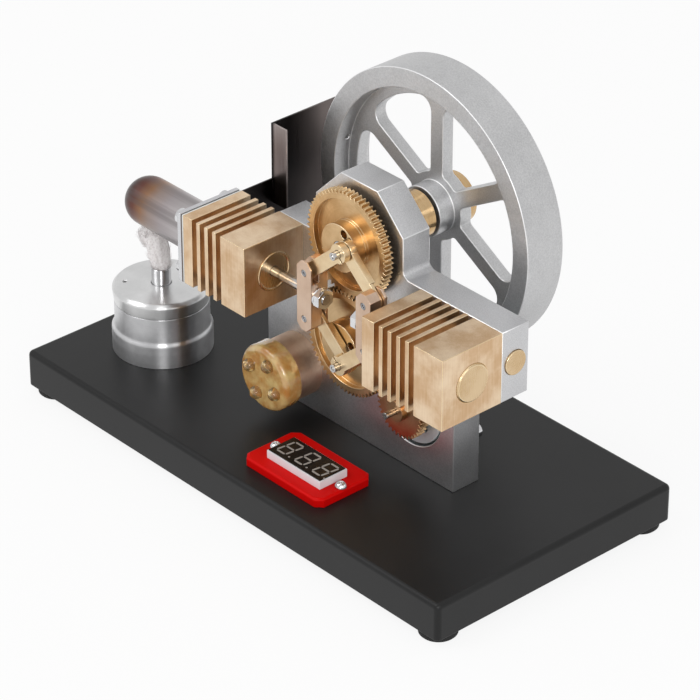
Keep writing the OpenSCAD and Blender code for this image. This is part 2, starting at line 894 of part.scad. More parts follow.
// Bush that guides and seals the displacer rod
module gland_bush() {
    color("#d8b070")
        on_cylinder_axis()
            difference() {
                along_x(gland_x0, displacer_block_x1 + gland_recess, gland_d / 2);
                along_x(displacer_block_x1, displacer_block_x1 + cut, gland_d / 2 - gland_lip_w);
                hole_x(gland_x0, displacer_block_x1, slide_rod_d / 2 + run_clear);
            }
}

// Square sheet at the hot end of the block with a round hole and four screw holes
module end_sheet(x0, x1, hole_r) {
    difference() {
        on_cylinder_axis()
            plate_x(x0, x1)
                square(block_s, center = true);
        on_cylinder_axis()
            hole_x(x0, x1, hole_r);
        at_cap_screws()
            hole_x(x0, x1, cap_screw_d / 2 + fit_clear);
    }
}

// Thin white gasket between the block and the heat shield
module flange_gasket() {
    color("#e8e8e4")
        end_sheet(shield_x1, displacer_block_x0, displacer_bore_d / 2);
}

// Square steel flange of the hot cap
module cap_flange() {
    color("#d9dadb")
        end_sheet(flange_x0, flange_x1, cap_d / 2 + fit_clear);
}

// Thin stainless tube with a domed end, heated by the flame
module hot_cap() {
    color("#a79c96")
        on_cylinder_axis()
            difference() {
                domed_x(cap_end_x, flange_x1, cap_d / 2);
                domed_x(cap_end_x, flange_x1 + cut, cap_bore_r);
            }
}

// Button-head screw with its washer, its head up and the seat of its washer at zero height
module button_screw(length) {
    difference() {
        union() {
            cylinder(h = cap_washer_t, r = cap_washer_d / 2);
            cylinder(h = cap_washer_t + cap_screw_head_h, r = cap_screw_head_d / 2);
            translate([0, 0, -length])
                cylinder(h = length, r = cap_screw_d / 2);
        }
        translate([0, 0, cap_washer_t + cap_screw_head_h / 2])
            cylinder(h = cap_screw_head_h, r = cap_screw_d / 2, $fn = hex_sides);
    }
}

// Six equal button-head screws: four on the hot cap flange and two on the generator flange
module button_screws() {
    length = displacer_block_x0 + cap_screw_depth - flange_x0;
    color("#c9cacc") {
        at_cap_screws()
            translate([flange_x0, 0, 0])
                rotate([0, -90, 0])
                    button_screw(length);
        at_generator_lugs()
            translate([0, frame_back_y + generator_flange_t, 0])
                rotate([-90, 0, 0])
                    button_screw(length);
    }
}

// Dark sheet that keeps the flame's heat from the flywheel, with a folded front lip
module heat_shield() {
    block_bottom = axis_z - block_s / 2;
    block_top = axis_z + block_s / 2 - shield_sink;
    tall_top = axis_z + shield_rise;
    color("#3a3331")
        difference() {
            union() {
                plate_x(flange_x1, shield_x1)
                    polygon([[shield_front_y, block_bottom], [shield_tall_y1, block_bottom],
                        [shield_tall_y1, tall_top], [shield_lip_y, tall_top], [shield_lip_y, block_top],
                        [shield_front_y, block_top]]);
                translate([flange_x1, shield_lip_y, block_top - 2 * shield_lip_drop])
                    cube([shield_lip, shield_t, tall_top - block_top + 2 * shield_lip_drop]);
            }
            on_cylinder_axis()
                hole_x(flange_x1, shield_x1, displacer_bore_d / 2);
            at_cap_screws()
                hole_x(flange_x1, shield_x1, cap_screw_d / 2 + fit_clear);
        }
}

// Steel sleeve in the power block
module cylinder_liner() {
    color("#9a9c9f")
        on_cylinder_axis()
            difference() {
                along_x(liner_x0, liner_x1, liner_d / 2);
                hole_x(liner_x0, liner_x1, liner_bore_d / 2);
            }
}

// Round plug that closes the power cylinder
module cylinder_plug() {
    r = cylinder_plug_d / 2;
    chamfer_x = power_block_x1 + cylinder_plug_proud - cylinder_plug_chamfer;
    color("#c79a54")
        on_cylinder_axis() {
            along_x(cylinder_plug_x0, chamfer_x, r);
            translate([chamfer_x, 0, 0])
                rotate([0, 90, 0])
                    cylinder(h = cylinder_plug_chamfer, r1 = r, r2 = r - cylinder_plug_chamfer);
        }
}

// Brass tube that carries the main shaft in two ball bearings
module bearing_housing() {
    color("#c79a54")
        at_crank(upper_z)
            difference() {
                union() {
                    along_y(frame_y, frame_back_y, housing_spigot_d / 2);
                    along_y(frame_back_y, housing_y1, housing_d / 2);
                }
                along_y(frame_y - cut, frame_y + bearing_w + seat_gap, bearing_d / 2 + fit_clear);
                along_y(housing_y1 - bearing_w - seat_gap, housing_y1 + cut, bearing_d / 2 + fit_clear);
                along_y(frame_y, housing_y1, bearing_shield_r);
            }
}

// One shielded ball bearing with its front face at y0
module ball_bearing(y0) {
    difference() {
        along_y(y0, y0 + bearing_w, bearing_d / 2);
        hole_y(y0, y0 + bearing_w, shaft_d / 2 + run_clear);
        for (y = [y0 - cut, y0 + bearing_w - bearing_groove_depth])
            ring_y(y, y + cut + bearing_groove_depth, bearing_race_r + bearing_groove_w, bearing_race_r);
    }
}

// The four equal bearings of the two crank shafts
module ball_bearings() {
    color("#b4b6b9") {
        at_crank(upper_z) {
            ball_bearing(frame_y);
            ball_bearing(housing_y1 - bearing_w);
        }
        at_crank(lower_z) {
            ball_bearing(frame_y);
            ball_bearing(frame_back_y - bearing_w);
        }
    }
}

// Steel can of the generator, held in the frame plate
module generator_can() {
    y1 = generator_y0 + generator_l;
    color("#a9adb0")
        on_generator_axis()
            difference() {
                union() {
                    along_y(generator_y0, y1, generator_d / 2);
                    along_y(generator_y0 - generator_boss_l, generator_y0, generator_boss_d / 2);
                }
                along_y(generator_y0 + generator_wall, y1 - generator_wall, generator_d / 2 - generator_wall);
                along_y(generator_y0 - generator_boss_l - cut, generator_y0 + 2 * cut,
                    generator_shaft_d / 2 + run_clear);
                for (s = [-1, 1])
                    rotate([0, -generator_hole_turn, 0])
                        translate([s * generator_hole_r, 0, 0])
                            hole_y(generator_y0, generator_y0 + generator_wall, generator_hole_d / 2);
            }
}

// Steel ring that clamps the generator behind the frame plate
module generator_flange() {
    y1 = frame_back_y + generator_flange_t;
    color("#a9adb0")
        difference() {
            union() {
                on_generator_axis()
                    along_y(frame_back_y, y1, generator_flange_d / 2);
                at_generator_lugs()
                    along_y(frame_back_y, y1, generator_lug_d / 2);
            }
            on_generator_axis()
                hole_y(frame_back_y, y1, generator_d / 2 + fit_clear);
            at_generator_lugs()
                hole_y(frame_back_y, y1, cap_screw_d / 2 + fit_clear);
        }
}

// Polished metal cup of the lamp head
module lamp_body() {
    y0 = frame_y - lamp_body_l;
    color("#8d7f76")
        translate([lamp_x, 0, lamp_z])
            difference() {
                along_y(y0, frame_y, lamp_d / 2);
                along_y(y0 - cut, frame_y - lamp_back_wall, lamp_d / 2 - lamp_wall);
                hole_y(frame_y - lamp_back_wall, frame_y, screw_d / 2 + fit_clear);
            }
}

// Places of the lamp diodes around the lamp axis
led_places = [for (i = [0 : leds - 1])
    [led_ring_r * cos(led_turn + i * 360 / leds), led_ring_r * sin(led_turn + i * 360 / leds)]];

// Clear amber disc in front of the lamp body
module lamp_lens() {
    back_y = frame_y - lamp_body_l;
    lens_r = lamp_d / 2 + lamp_lens_lip;
    color("#c08a3c")
        translate([lamp_x, back_y, lamp_z])
            difference() {
                rotate([90, 0, 0])
                    rotate_extrude() {
                        square([lens_r, lamp_lens_l - lamp_lens_round]);
                        square([lens_r - lamp_lens_round, lamp_lens_l]);
                        translate([lens_r - lamp_lens_round, lamp_lens_l - lamp_lens_round])
                            circle(lamp_lens_round);
                    }
                for (p = led_places)
                    translate([p[0], 0, p[1]])
                        along_y(-lamp_lens_l - cut, -lamp_lens_l + led_sink, led_d / 2 + fit_clear);
            }
}

// Small domed lamp diodes
module lamp_leds() {
    front_y = frame_y - lamp_body_l - lamp_lens_l;
    color("#d8dcdc")
        translate([lamp_x, 0, lamp_z])
            for (p = led_places)
                translate([p[0], 0, p[1]]) {
                    along_y(front_y - led_rise, front_y + led_sink - seat_gap, led_d / 2);
                    translate([0, front_y - led_rise, 0])
                        sphere(led_d / 2);
                }
}

// Red plate under the voltmeter, bevelled along its top edge
module display_plate() {
    color("#c8100e")
        difference() {
            translate([display_x, display_y, base_top])
                hull() {
                    for (inset = [0, display_bevel])
                        linear_extrude(display_t - display_bevel + inset)
                            cut_rectangle(display_l / 2 - inset, display_w / 2 - inset, display_chamfer);
                }
            at_display_screws()
                translate([0, 0, base_top - cut])
                    cylinder(h = display_t + 2 * cut, r = display_screw_d / 2 + fit_clear);
        }
}

// White case of the voltmeter
module display_body() {
    color("#ece9ec")
        translate([meter_x - meter_l / 2, meter_y - meter_w / 2, base_top + display_t])
            cube([meter_l, meter_w, meter_h]);
}

// Black window of the voltmeter
module display_face() {
    color("#191512")
        translate([meter_x - meter_l / 2 + meter_face_inset, meter_y - meter_w / 2 + meter_face_inset,
            base_top + display_t + meter_h])
            cube([meter_l - 2 * meter_face_inset, meter_w - 2 * meter_face_inset, meter_face_t]);
}

// One segment with pointed ends, centred on its place
module segment(length) {
    l = length / 2 - segment_gap;
    w = segment_w / 2;
    polygon([[-l, 0], [-l + w, -w], [l - w, -w], [l, 0], [l - w, w], [-l + w, w]]);
}

// The seven segments and the point of one digit
module digit() {
    half = digit_h / 2;
    wide = digit_w - segment_w;
    multmatrix([[1, digit_lean, 0, 0], [0, 1, 0, 0], [0, 0, 1, 0], [0, 0, 0, 1]])
        linear_extrude(segment_t) {
            for (y = [-1, 0, 1])
                translate([0, y * (half - segment_w / 2)])
                    segment(wide);
            for (sx = [-1, 1])
                for (sy = [-1, 1])
                    translate([sx * wide / 2, sy * (half - segment_w / 2) / 2])
                        rotate(90)
                            segment(half - segment_w / 2);
            translate([digit_w / 2 + point_gap, -half + segment_w / 2])
                circle(segment_w / 2);
        }
}

// Unlit figures of the voltmeter
module display_segments() {
    color("#8d8884")
        for (i = [0 : digits - 1])
            translate([meter_x + (i - (digits - 1) / 2) * digit_pitch + digit_shift, meter_y,
                base_top + display_t + meter_h + meter_face_t])
                digit();
}

// Pan-head screws at both ends of the voltmeter
module display_screws() {
    dome_r = display_screw_head_d / 2;
    color("#cfcfcf")
        at_display_screws()
            translate([0, 0, base_top + display_t])
                difference() {
                    union() {
                        intersection() {
                            translate([0, 0, -(dome_r - display_screw_head_h)])
                                sphere(dome_r);
                            cylinder(h = display_screw_head_h, r = dome_r);
                        }
                        translate([0, 0, -display_screw_depth + cut])
                            cylinder(h = display_screw_depth - cut, r = display_screw_d / 2);
                    }
                    for (turn = [0, 90])
                        rotate(turn)
                            translate([-dome_r / 2, -slot_w / 2, display_screw_head_h - slot_depth])
                                cube([dome_r, slot_w, slot_depth + cut]);
                }
}

// Corner of a window that stays metal: r is its radius and reach the radius of the window's end,
// out is 1 next to the rim and -1 next to the hub. The spoke's middle line runs along X.
module window_corner(r, reach, out) {
    side = spoke_w / 2;
    centre_r = reach - out * r;
    centre = [sqrt(centre_r * centre_r - (side + r) * (side + r)), side + r];
    corner = [sqrt(reach * reach - side * side), side];
    difference() {
        polygon([[centre[0], side - cut], corner + [out * cut, -cut], centre * (reach + out * cut) / centre_r,
            centre]);
        translate(centre)
            circle(r);
    }
}

// Outline of one window between two spokes, centred on the X axis
module fly_window() {
    half_step = 180 / spokes;
    apex = spoke_w / 2 / sin(half_step);
    difference() {
        intersection() {
            circle(fly_window_r1);
            polygon([[apex, 0], [apex + fly_d * cos(half_step), -fly_d * sin(half_step)],
                [apex + fly_d * cos(half_step), fly_d * sin(half_step)]]);
        }
        circle(fly_window_r0);
        for (s = [0, 1])
            mirror([0, s])
                rotate(-half_step) {
                    window_corner(window_rim_r, fly_window_r1, 1);
                    window_corner(window_hub_r, fly_window_r0, -1);
                }
    }
}

// Spoked aluminium flywheel with a deep rim
module flywheel() {
    color("#aeb0b2")
        at_crank(upper_z)
            difference() {
                union() {
                    ring_y(fly_y0, fly_y1, fly_d / 2, fly_rim_r);
                    difference() {
                        along_y(fly_web_y0, fly_web_y0 + spoke_t, fly_rim_r + seat_gap);
                        for (i = [0 : spokes - 1])
                            rotate([0, -i * 360 / spokes, 0])
                                plate_y(fly_web_y0 - cut, fly_web_y0 + spoke_t + cut)
                                    fly_window();
                    }
                    along_y(fly_y0, fly_y0 + fly_hub_l, fly_hub_d / 2);
                }
                hole_y(fly_y0, fly_y1, shaft_d / 2 + fit_clear);
                rotate([0, -balance_hole_turn, 0])
                    translate([fly_rim_r - cut, fly_web_y0 - balance_hole_inset, 0])
                        along_x(0, balance_hole_depth + cut, balance_hole_d / 2);
            }
}

// Steel shaft of the flywheel and the upper crank
module main_shaft() {
    color("#a5a7aa")
        at_crank(upper_z)
            along_y(disc_front_y, main_shaft_y1, shaft_d / 2);
}

// Brass gear with a raised rim, a recessed web and a hub
module crank_gear(z, phase) {
    color("#cf9f5c")
        at_crank(z)
            difference() {
                union() {
                    plate_y(gear_front_y, gear_back_y)
                        polygon(gear_outline(gear_teeth, phase));
                    along_y(hub_front_y, gear_back_y, crank_disc_d / 2);
                }
                difference() {
                    along_y(gear_front_y - cut, gear_back_y - gear_web_t, gear_rim_inner_r);
                    along_y(hub_front_y, gear_back_y, crank_disc_d / 2);
                }
                hole_y(gear_front_y, gear_back_y, shaft_d / 2 + fit_clear);
            }
}

module upper_gear() {
    crank_gear(upper_z, upper_phase);
}

module lower_gear() {
    crank_gear(lower_z, lower_phase);
}

// Disc on the front of a gear hub with the hole for its crank pin
module crank_disc(z, pin_angle) {
    color("#d9b47a")
        at_crank(z)
            difference() {
                along_y(disc_front_y, hub_front_y, crank_disc_d / 2);
                hole_y(disc_front_y, hub_front_y, shaft_d / 2 + fit_clear);
                for (hole = [[pin_angle, crank_pin_d], [pin_angle + disc_hole_turn, disc_hole_d]])
                    rotate([0, -hole[0], 0])
                        translate([crank_r, 0, 0])
                            hole_y(disc_front_y, hub_front_y, hole[1] / 2 + fit_clear);
            }
}

module upper_crank_disc() {
    crank_disc(upper_z, crank_phase);
}

module lower_crank_disc() {
    crank_disc(lower_z, -crank_phase);
}

// Brass collar on the main shaft behind the flywheel
module flywheel_collar() {
    color("#c79a54")
        at_crank(upper_z)
            ring_y(fly_collar_y0, fly_collar_y0 + fly_collar_t, fly_collar_d / 2, shaft_d / 2 + fit_clear);
}

// Steel shaft of the lower crank
module lower_shaft() {
    color("#a5a7aa")
        at_crank(lower_z)
            along_y(disc_front_y, lower_shaft_y1, shaft_d / 2);
}

// Brass collar that keeps the lower shaft in its bearings
module lower_collar() {
    color("#c79a54")
        at_crank(lower_z)
            ring_y(collar_y0, collar_y0 + collar_t, collar_d / 2, shaft_d / 2 + fit_clear);
}

// Thin steel shaft of the generator
module generator_shaft() {
    y0 = pinion_back_y - gear_t - pinion_hub_l - generator_shaft_proud;
    y1 = generator_y0 + generator_l - generator_wall - seat_gap;
    color("#c2c4c7")
        on_generator_axis()
            along_y(y0, y1, generator_shaft_d / 2);
}

// Small brass gear that the lower large gear drives
module generator_gear() {
    front_y = pinion_back_y - gear_t;
    color("#b98a58")
        on_generator_axis()
            difference() {
                union() {
                    plate_y(front_y, pinion_back_y)
                        polygon(gear_outline(pinion_teeth, pinion_phase));
                    along_y(front_y - pinion_hub_l, front_y, pinion_hub_d / 2);
                }
                hole_y(front_y - pinion_hub_l, pinion_back_y, generator_shaft_d / 2 + fit_clear);
            }
}

// Wound core inside the generator can
module generator_armature() {
    y0 = generator_y0 + generator_wall + generator_rear_gap;
    y1 = generator_y0 + generator_l - generator_wall - generator_rear_gap;
    color("#9c5a33")
        on_generator_axis()
            ring_y(y0, y1, armature_d / 2, generator_shaft_d / 2 + fit_clear);
}

// Hollow displacer with a domed hot end and a solid cold end
module displacer() {
    color("#b9bcc0")
        on_cylinder_axis()
            difference() {
                domed_x(displacer_x0, displacer_x1, displacer_r);
                domed_x(displacer_x0, displacer_x1 - displacer_plug_l, displacer_r - displacer_wall);
                along_x(displacer_x1 - displacer_rod_hold, displacer_x1 + cut, slide_rod_d / 2 + fit_clear);
            }
}

// Places along X of the ends of the two slide rods at their nuts
displacer_rod_x1 = displacer_yoke_x + yoke_w / 2 + nut_washer_t + nut_t + rod_end_proud;
piston_rod_x0 = piston_yoke_x - yoke_w / 2 - nut_washer_t - nut_t - rod_end_proud;

// Rod between the displacer and its yoke
module displacer_rod() {
    color("#b5b0a6")
        on_cylinder_axis()
            along_x(displacer_x1 - displacer_rod_hold + seat_gap, displacer_rod_x1, slide_rod_d / 2);
}

// Slot of a yoke for the tongue of the rear or the front rod
function tongue_y0(front) = front ? front_rod_y - rod_t : rear_rod_y - rod_t;
function tongue_y1(front) = tongue_y0(front) + tongue_t;

// Bar with a slotted end above and below the cylinder axis
module yoke(x, top_is_front) {
    w = yoke_w / 2;
    h = yoke_h / 2;
    slot_start = pivot_half - rod_tongue_d / 2 - 2 * pass_gap;
    difference() {
        translate([x, 0, axis_z])
            plate_y(yoke_back_y - yoke_t, yoke_back_y)
                cut_rectangle(w, h, yoke_chamfer);
        for (side = [1, -1]) {
            front = (side > 0) == top_is_front;
            y0 = tongue_y0(front) - tongue_play - (front ? front_slot_extra : 0);
            y1 = tongue_y1(front) + tongue_play;
            translate([x - w - cut, y0, side > 0 ? axis_z + slot_start : axis_z - h - cut])
                cube([yoke_w + 2 * cut, y1 - y0, h + cut - slot_start]);
            translate([x, 0, axis_z + side * pivot_half])
                hole_y(yoke_back_y - yoke_t, yoke_back_y, pivot_d / 2 + fit_clear);
        }
        on_cylinder_axis()
            along_x(x - yoke_w, x + yoke_w, slide_rod_d / 2 + fit_clear);
    }
}

module displacer_yoke() {
    color("#c99f82")
        yoke(displacer_yoke_x, true);
}

module piston_yoke() {
    color("#cfa98a")
        yoke(piston_yoke_x, false);
}

// Washer and nut on a slide rod, from the yoke face at x along the sign of dir
module rod_nut(x, dir) {
    x1 = x + dir * nut_washer_t;
    x2 = x1 + dir * nut_t;
    color("#c8cacd")
        on_cylinder_axis()
            difference() {
                union() {
                    along_x(min(x, x1), max(x, x1), nut_washer_d / 2);
                    translate([min(x1, x2), 0, 0])
                        rotate([0, 90, 0])
                            cylinder(h = nut_t, r = nut_flats / 2 / cos(180 / hex_sides), $fn = hex_sides);
                }
                along_x(min(x, x2) - cut, max(x, x2) + cut, slide_rod_d / 2 + fit_clear);
            }
}

module displacer_nut() {
    rod_nut(displacer_yoke_x + yoke_w / 2, 1);
}

module piston_nut() {
    rod_nut(piston_yoke_x - yoke_w / 2, -1);
}

// Two headless pivot screws of a yoke with key holes in front
module yoke_pivots(x) {
    y0 = yoke_back_y - yoke_t + seat_gap;
    color("#a8a29c")
        for (s = [-1, 1])
            translate([x, 0, axis_z + s * pivot_half])
                difference() {
                    along_y(y0, yoke_back_y - seat_gap, pivot_d / 2);
                    key_hole_y(y0 - cut, pivot_d / 2, cut + pivot_d / 4);
                }
}

module displacer_pivots() {
    yoke_pivots(displacer_yoke_x);
}

module piston_pivots() {
    yoke_pivots(piston_yoke_x);
}

// Graphite piston with oil grooves
module piston() {
    r = liner_bore_d / 2 - run_clear;
    color("#3d3f42")
        on_cylinder_axis()
            difference() {
                along_x(piston_x0, piston_x0 + piston_l, r);
                for (i = [1 : piston_grooves])
                    translate([i * piston_l / (piston_grooves + 1), 0, 0])
                        difference() {
                            along_x(piston_x0, piston_x0 + piston_groove_w, r + cut);
                            hole_x(piston_x0, piston_x0 + piston_groove_w, r - piston_groove_depth);
                        }
                along_x(piston_x0 - cut, piston_x0 + piston_rod_hold, slide_rod_d / 2 + fit_clear);
            }
}

// Rod between the piston and its yoke
module piston_rod() {
    color("#b5b0a6")
        on_cylinder_axis()
            along_x(piston_rod_x0, piston_x0 + piston_rod_hold - seat_gap, slide_rod_d / 2);
}

// Outline of the thick part of a rod, its small end at the origin and its large end on the X axis
module rod_shank_outline() {
    translate([rod_shoulder, -rod_w / 2])
        square([rod_l - rod_shoulder, rod_w]);
    translate([rod_l, 0])
        circle(rod_eye_d / 2);
}

// Outline of the thin tongue of a rod
module rod_tongue_outline() {
    circle(rod_tongue_d / 2);
    translate([0, -rod_tongue_d / 2])
        square([rod_shoulder + cut, rod_tongue_d]);
}

// Connecting rod from the yoke at x towards the crank pin
// dir is the sign of its run along X, and up that of its rise
module connecting_rod(x, dir, up, front) {
    shank_y0 = front ? front_rod_y - rod_t : rear_rod_y - rod_t;
    turn = dir > 0 ? up * rod_angle : 180 - up * rod_angle;
    color("#dcb87c")
        translate([x, 0, axis_z + up * pivot_half])
            rotate([0, -turn, 0])
                difference() {
                    union() {
                        plate_y(shank_y0, shank_y0 + rod_t)
                            rod_shank_outline();
                        plate_y(tongue_y0(front), tongue_y1(front))
                            rod_tongue_outline();
                    }
                    hole_y(shank_y0, shank_y0 + rod_t, pivot_d / 2 + run_clear);
                    translate([rod_l, 0, 0]) {
                        hole_y(shank_y0, shank_y0 + rod_t, crank_pin_d / 2 + fit_clear);
                        translate([-slot_w / 2, shank_y0 - cut, dir * up < 0 ? 0 : -rod_eye_d])
                            cube([slot_w, rod_t + 2 * cut, rod_eye_d]);
                    }
                }
}

module displacer_upper_rod() {
    connecting_rod(displacer_yoke_x, 1, 1, true);
}

module displacer_lower_rod() {
    connecting_rod(displacer_yoke_x, 1, -1, false);
}

module piston_upper_rod() {
    connecting_rod(piston_yoke_x, -1, 1, false);
}

module piston_lower_rod() {
    connecting_rod(piston_yoke_x, -1, -1, true);
}

// Crank pin that stands out of the front rod of a crank
module crank_pin(z, pin_angle) {
    y0 = front_rod_y - rod_t - crank_pin_proud;
    color("#b9bbbe")
        translate([crank_x + crank_r * cos(pin_angle), 0, z + crank_r * sin(pin_angle)])
            difference() {
                along_y(y0, front_rod_y, crank_pin_d / 2);
                key_hole_y(y0 - cut, crank_pin_d / 2, cut + crank_pin_d / 4);
            }
}

module upper_crank_pin() {
    crank_pin(upper_z, crank_phase);
}

module lower_crank_pin() {
    crank_pin(lower_z, -crank_phase);
}

// Moves its children onto the burner axis, with the base plate as zero height
module on_burner() {
    translate([burner_x, burner_y, base_top])
        children();
}

// Turned metal cup that holds the spirit
module burner_body() {
    neck_r = burner_neck_d / 2;
    top = burner_h - burner_lid_h;
    color("#c3c4c6")
        on_burner()
            difference() {
                rotate_extrude()
                    polygon([[0, 0], [burner_d / 2, 0], [burner_d / 2, burner_foot_h],
                        [neck_r, burner_foot_h + burner_ledge_h], [neck_r, top], [0, top]]);
                translate([0, 0, burner_wall])
                    cylinder(h = top, r = neck_r - burner_wall);
            }
}

// Lid with a bevelled rim that sits in the mouth of the cup
module burner_lid() {
    neck_r = burner_neck_d / 2;
    rim_r = neck_r + burner_lid_flare;
    bottom = burner_h - burner_lid_h;
    plug_r = neck_r - burner_wall - fit_clear;
    color("#d3d4d5")
        on_burner()
            difference() {
                rotate_extrude()
                    polygon([[0, bottom - burner_plug_l], [plug_r, bottom - burner_plug_l], [plug_r, bottom],
                        [neck_r, bottom], [rim_r, burner_h - burner_lid_bevel],
                        [rim_r - burner_lid_bevel, burner_h], [0, burner_h]]);
                for (hole = [[0, wick_tube_d / 2 + fit_clear], [burner_vent_r, burner_vent_d / 2]])
                    rotate(burner_vent_turn)
                        translate([hole[0], 0, bottom - burner_plug_l - cut])
                            cylinder(h = burner_lid_h + burner_plug_l + 2 * cut, r = hole[1]);
            }
}

// Bright tube that carries the wick through the lid
module wick_tube() {
    color("#cdd0d3")
        on_burner()
            translate([0, 0, burner_h - wick_tube_depth])
                difference() {
                    cylinder(h = wick_tube_depth + wick_tube_rise, r = wick_tube_d / 2);
                    translate([0, 0, -cut])
                        cylinder(h = wick_tube_depth + wick_tube_rise + 2 * cut,
                            r = wick_tube_d / 2 - wick_tube_wall);
                }
}

// Places and radii of the wick above its tube, then of the tuft that hangs over to the left,
// as shares of the wick's height above the tube and of its diameter
wick_shares = [[0, 0, 0.1, 0.42], [-0.12, -0.01, 0.35, 0.5], [-0.27, -0.03, 0.72, 0.48],
    [-0.35, -0.05, 0.86, 0.42]];
tuft_shares = [[-0.5, -0.1, 0.82, 0.42], [-0.75, -0.16, 0.66, 0.34], [-0.67, -0.14, 0.5, 0.22]];

// One swollen form through a list of places
module wick_form(shares) {
    tube_top = burner_h + wick_tube_rise;
    rise = wick_top_z - base_top - tube_top;
    hull()
        for (p = shares)
            translate([p[0] * wick_d, p[1] * wick_d, tube_top + min(p[2] * rise, rise - p[3] * wick_d)])
                sphere(p[3] * wick_d, $fn = hull_fn);
}

// Cotton wick, swollen above its tube, with a frayed tuft that hangs over to the left
module wick() {
    inner_r = wick_tube_d / 2 - wick_tube_wall - wick_clear;
    tube_top = burner_h + wick_tube_rise;
    bottom = burner_wall + cut;
    color("#eeeceb")
        on_burner() {
            translate([0, 0, bottom])
                cylinder(h = tube_top + wick_clear - bottom, r = inner_r, $fn = hull_fn);
            wick_form(wick_shares);
            wick_form(tuft_shares);
        }
}

base_plate();
rubber_feet();
frame_screws();
frame_plate();
displacer_block();
power_block();
back_screws();
passage_plug();
gland_bush();
flange_gasket();
cap_flange();
hot_cap();
button_screws();
heat_shield();
cylinder_liner();
cylinder_plug();
bearing_housing();
ball_bearings();
generator_can();
generator_flange();
lamp_body();
lamp_lens();
lamp_leds();
display_plate();
display_body();
display_face();
display_segments();
display_screws();
flywheel();
main_shaft();
upper_gear();
upper_crank_disc();
flywheel_collar();
lower_shaft();
lower_gear();
lower_crank_disc();
lower_collar();
generator_shaft();
generator_gear();
generator_armature();
displacer();
displacer_rod();
displacer_yoke();
displacer_nut();
displacer_pivots();
piston();
piston_rod();
piston_yoke();
piston_nut();
piston_pivots();
displacer_upper_rod();
displacer_lower_rod();
piston_upper_rod();
piston_lower_rod();
upper_crank_pin();
lower_crank_pin();
burner_body();
burner_lid();
wick_tube();
wick();
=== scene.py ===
"""Looks of a tabletop stirling engine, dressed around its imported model.

Finned brass cylinders, a rhombic drive, a spoked flywheel, a geared generator with its lamp head
and voltmeter, and a spirit burner, all on a black coated base plate.
"""

import json
import logging
import math
import random
from dataclasses import dataclass, replace
from enum import Enum

import bmesh
import bpy
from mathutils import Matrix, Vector, noise

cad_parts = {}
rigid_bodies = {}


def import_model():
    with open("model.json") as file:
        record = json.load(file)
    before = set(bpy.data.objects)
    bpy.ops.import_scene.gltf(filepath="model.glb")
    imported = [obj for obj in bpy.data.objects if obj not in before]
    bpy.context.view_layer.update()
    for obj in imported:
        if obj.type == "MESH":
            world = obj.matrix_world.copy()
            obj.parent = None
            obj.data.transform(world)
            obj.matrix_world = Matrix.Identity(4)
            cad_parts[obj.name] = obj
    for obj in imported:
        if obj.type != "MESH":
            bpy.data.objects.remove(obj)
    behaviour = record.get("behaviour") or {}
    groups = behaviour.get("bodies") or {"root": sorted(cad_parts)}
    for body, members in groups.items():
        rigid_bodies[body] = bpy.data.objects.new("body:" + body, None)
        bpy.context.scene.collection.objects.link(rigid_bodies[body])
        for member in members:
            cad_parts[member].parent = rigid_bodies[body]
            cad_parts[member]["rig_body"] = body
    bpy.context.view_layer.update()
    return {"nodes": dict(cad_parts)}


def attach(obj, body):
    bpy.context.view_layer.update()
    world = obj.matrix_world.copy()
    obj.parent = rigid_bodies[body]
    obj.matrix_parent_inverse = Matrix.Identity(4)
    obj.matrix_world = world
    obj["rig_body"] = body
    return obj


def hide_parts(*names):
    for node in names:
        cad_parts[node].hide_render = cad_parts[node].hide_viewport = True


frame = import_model()
LOG = logging.getLogger("stirling_engine")

MM = 0.001
MERGE = 0.002 * MM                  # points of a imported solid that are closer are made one
FLAT_ANGLE = math.radians(0.5)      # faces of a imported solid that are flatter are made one
SHARP_ANGLE = math.radians(40.0)    # edges that are sharper stay sharp in the shading
NOISE_MIDDLE = 0.5
EVEN_RUN = (1.0, 1.0, 1.0)
WHITE = (1.0, 1.0, 1.0, 1.0)

Colour = tuple[float, float, float]
Point = tuple[float, float, float]
Span = tuple[float, float]
Stops = tuple[tuple[float, Colour], ...]


# Shader expressions

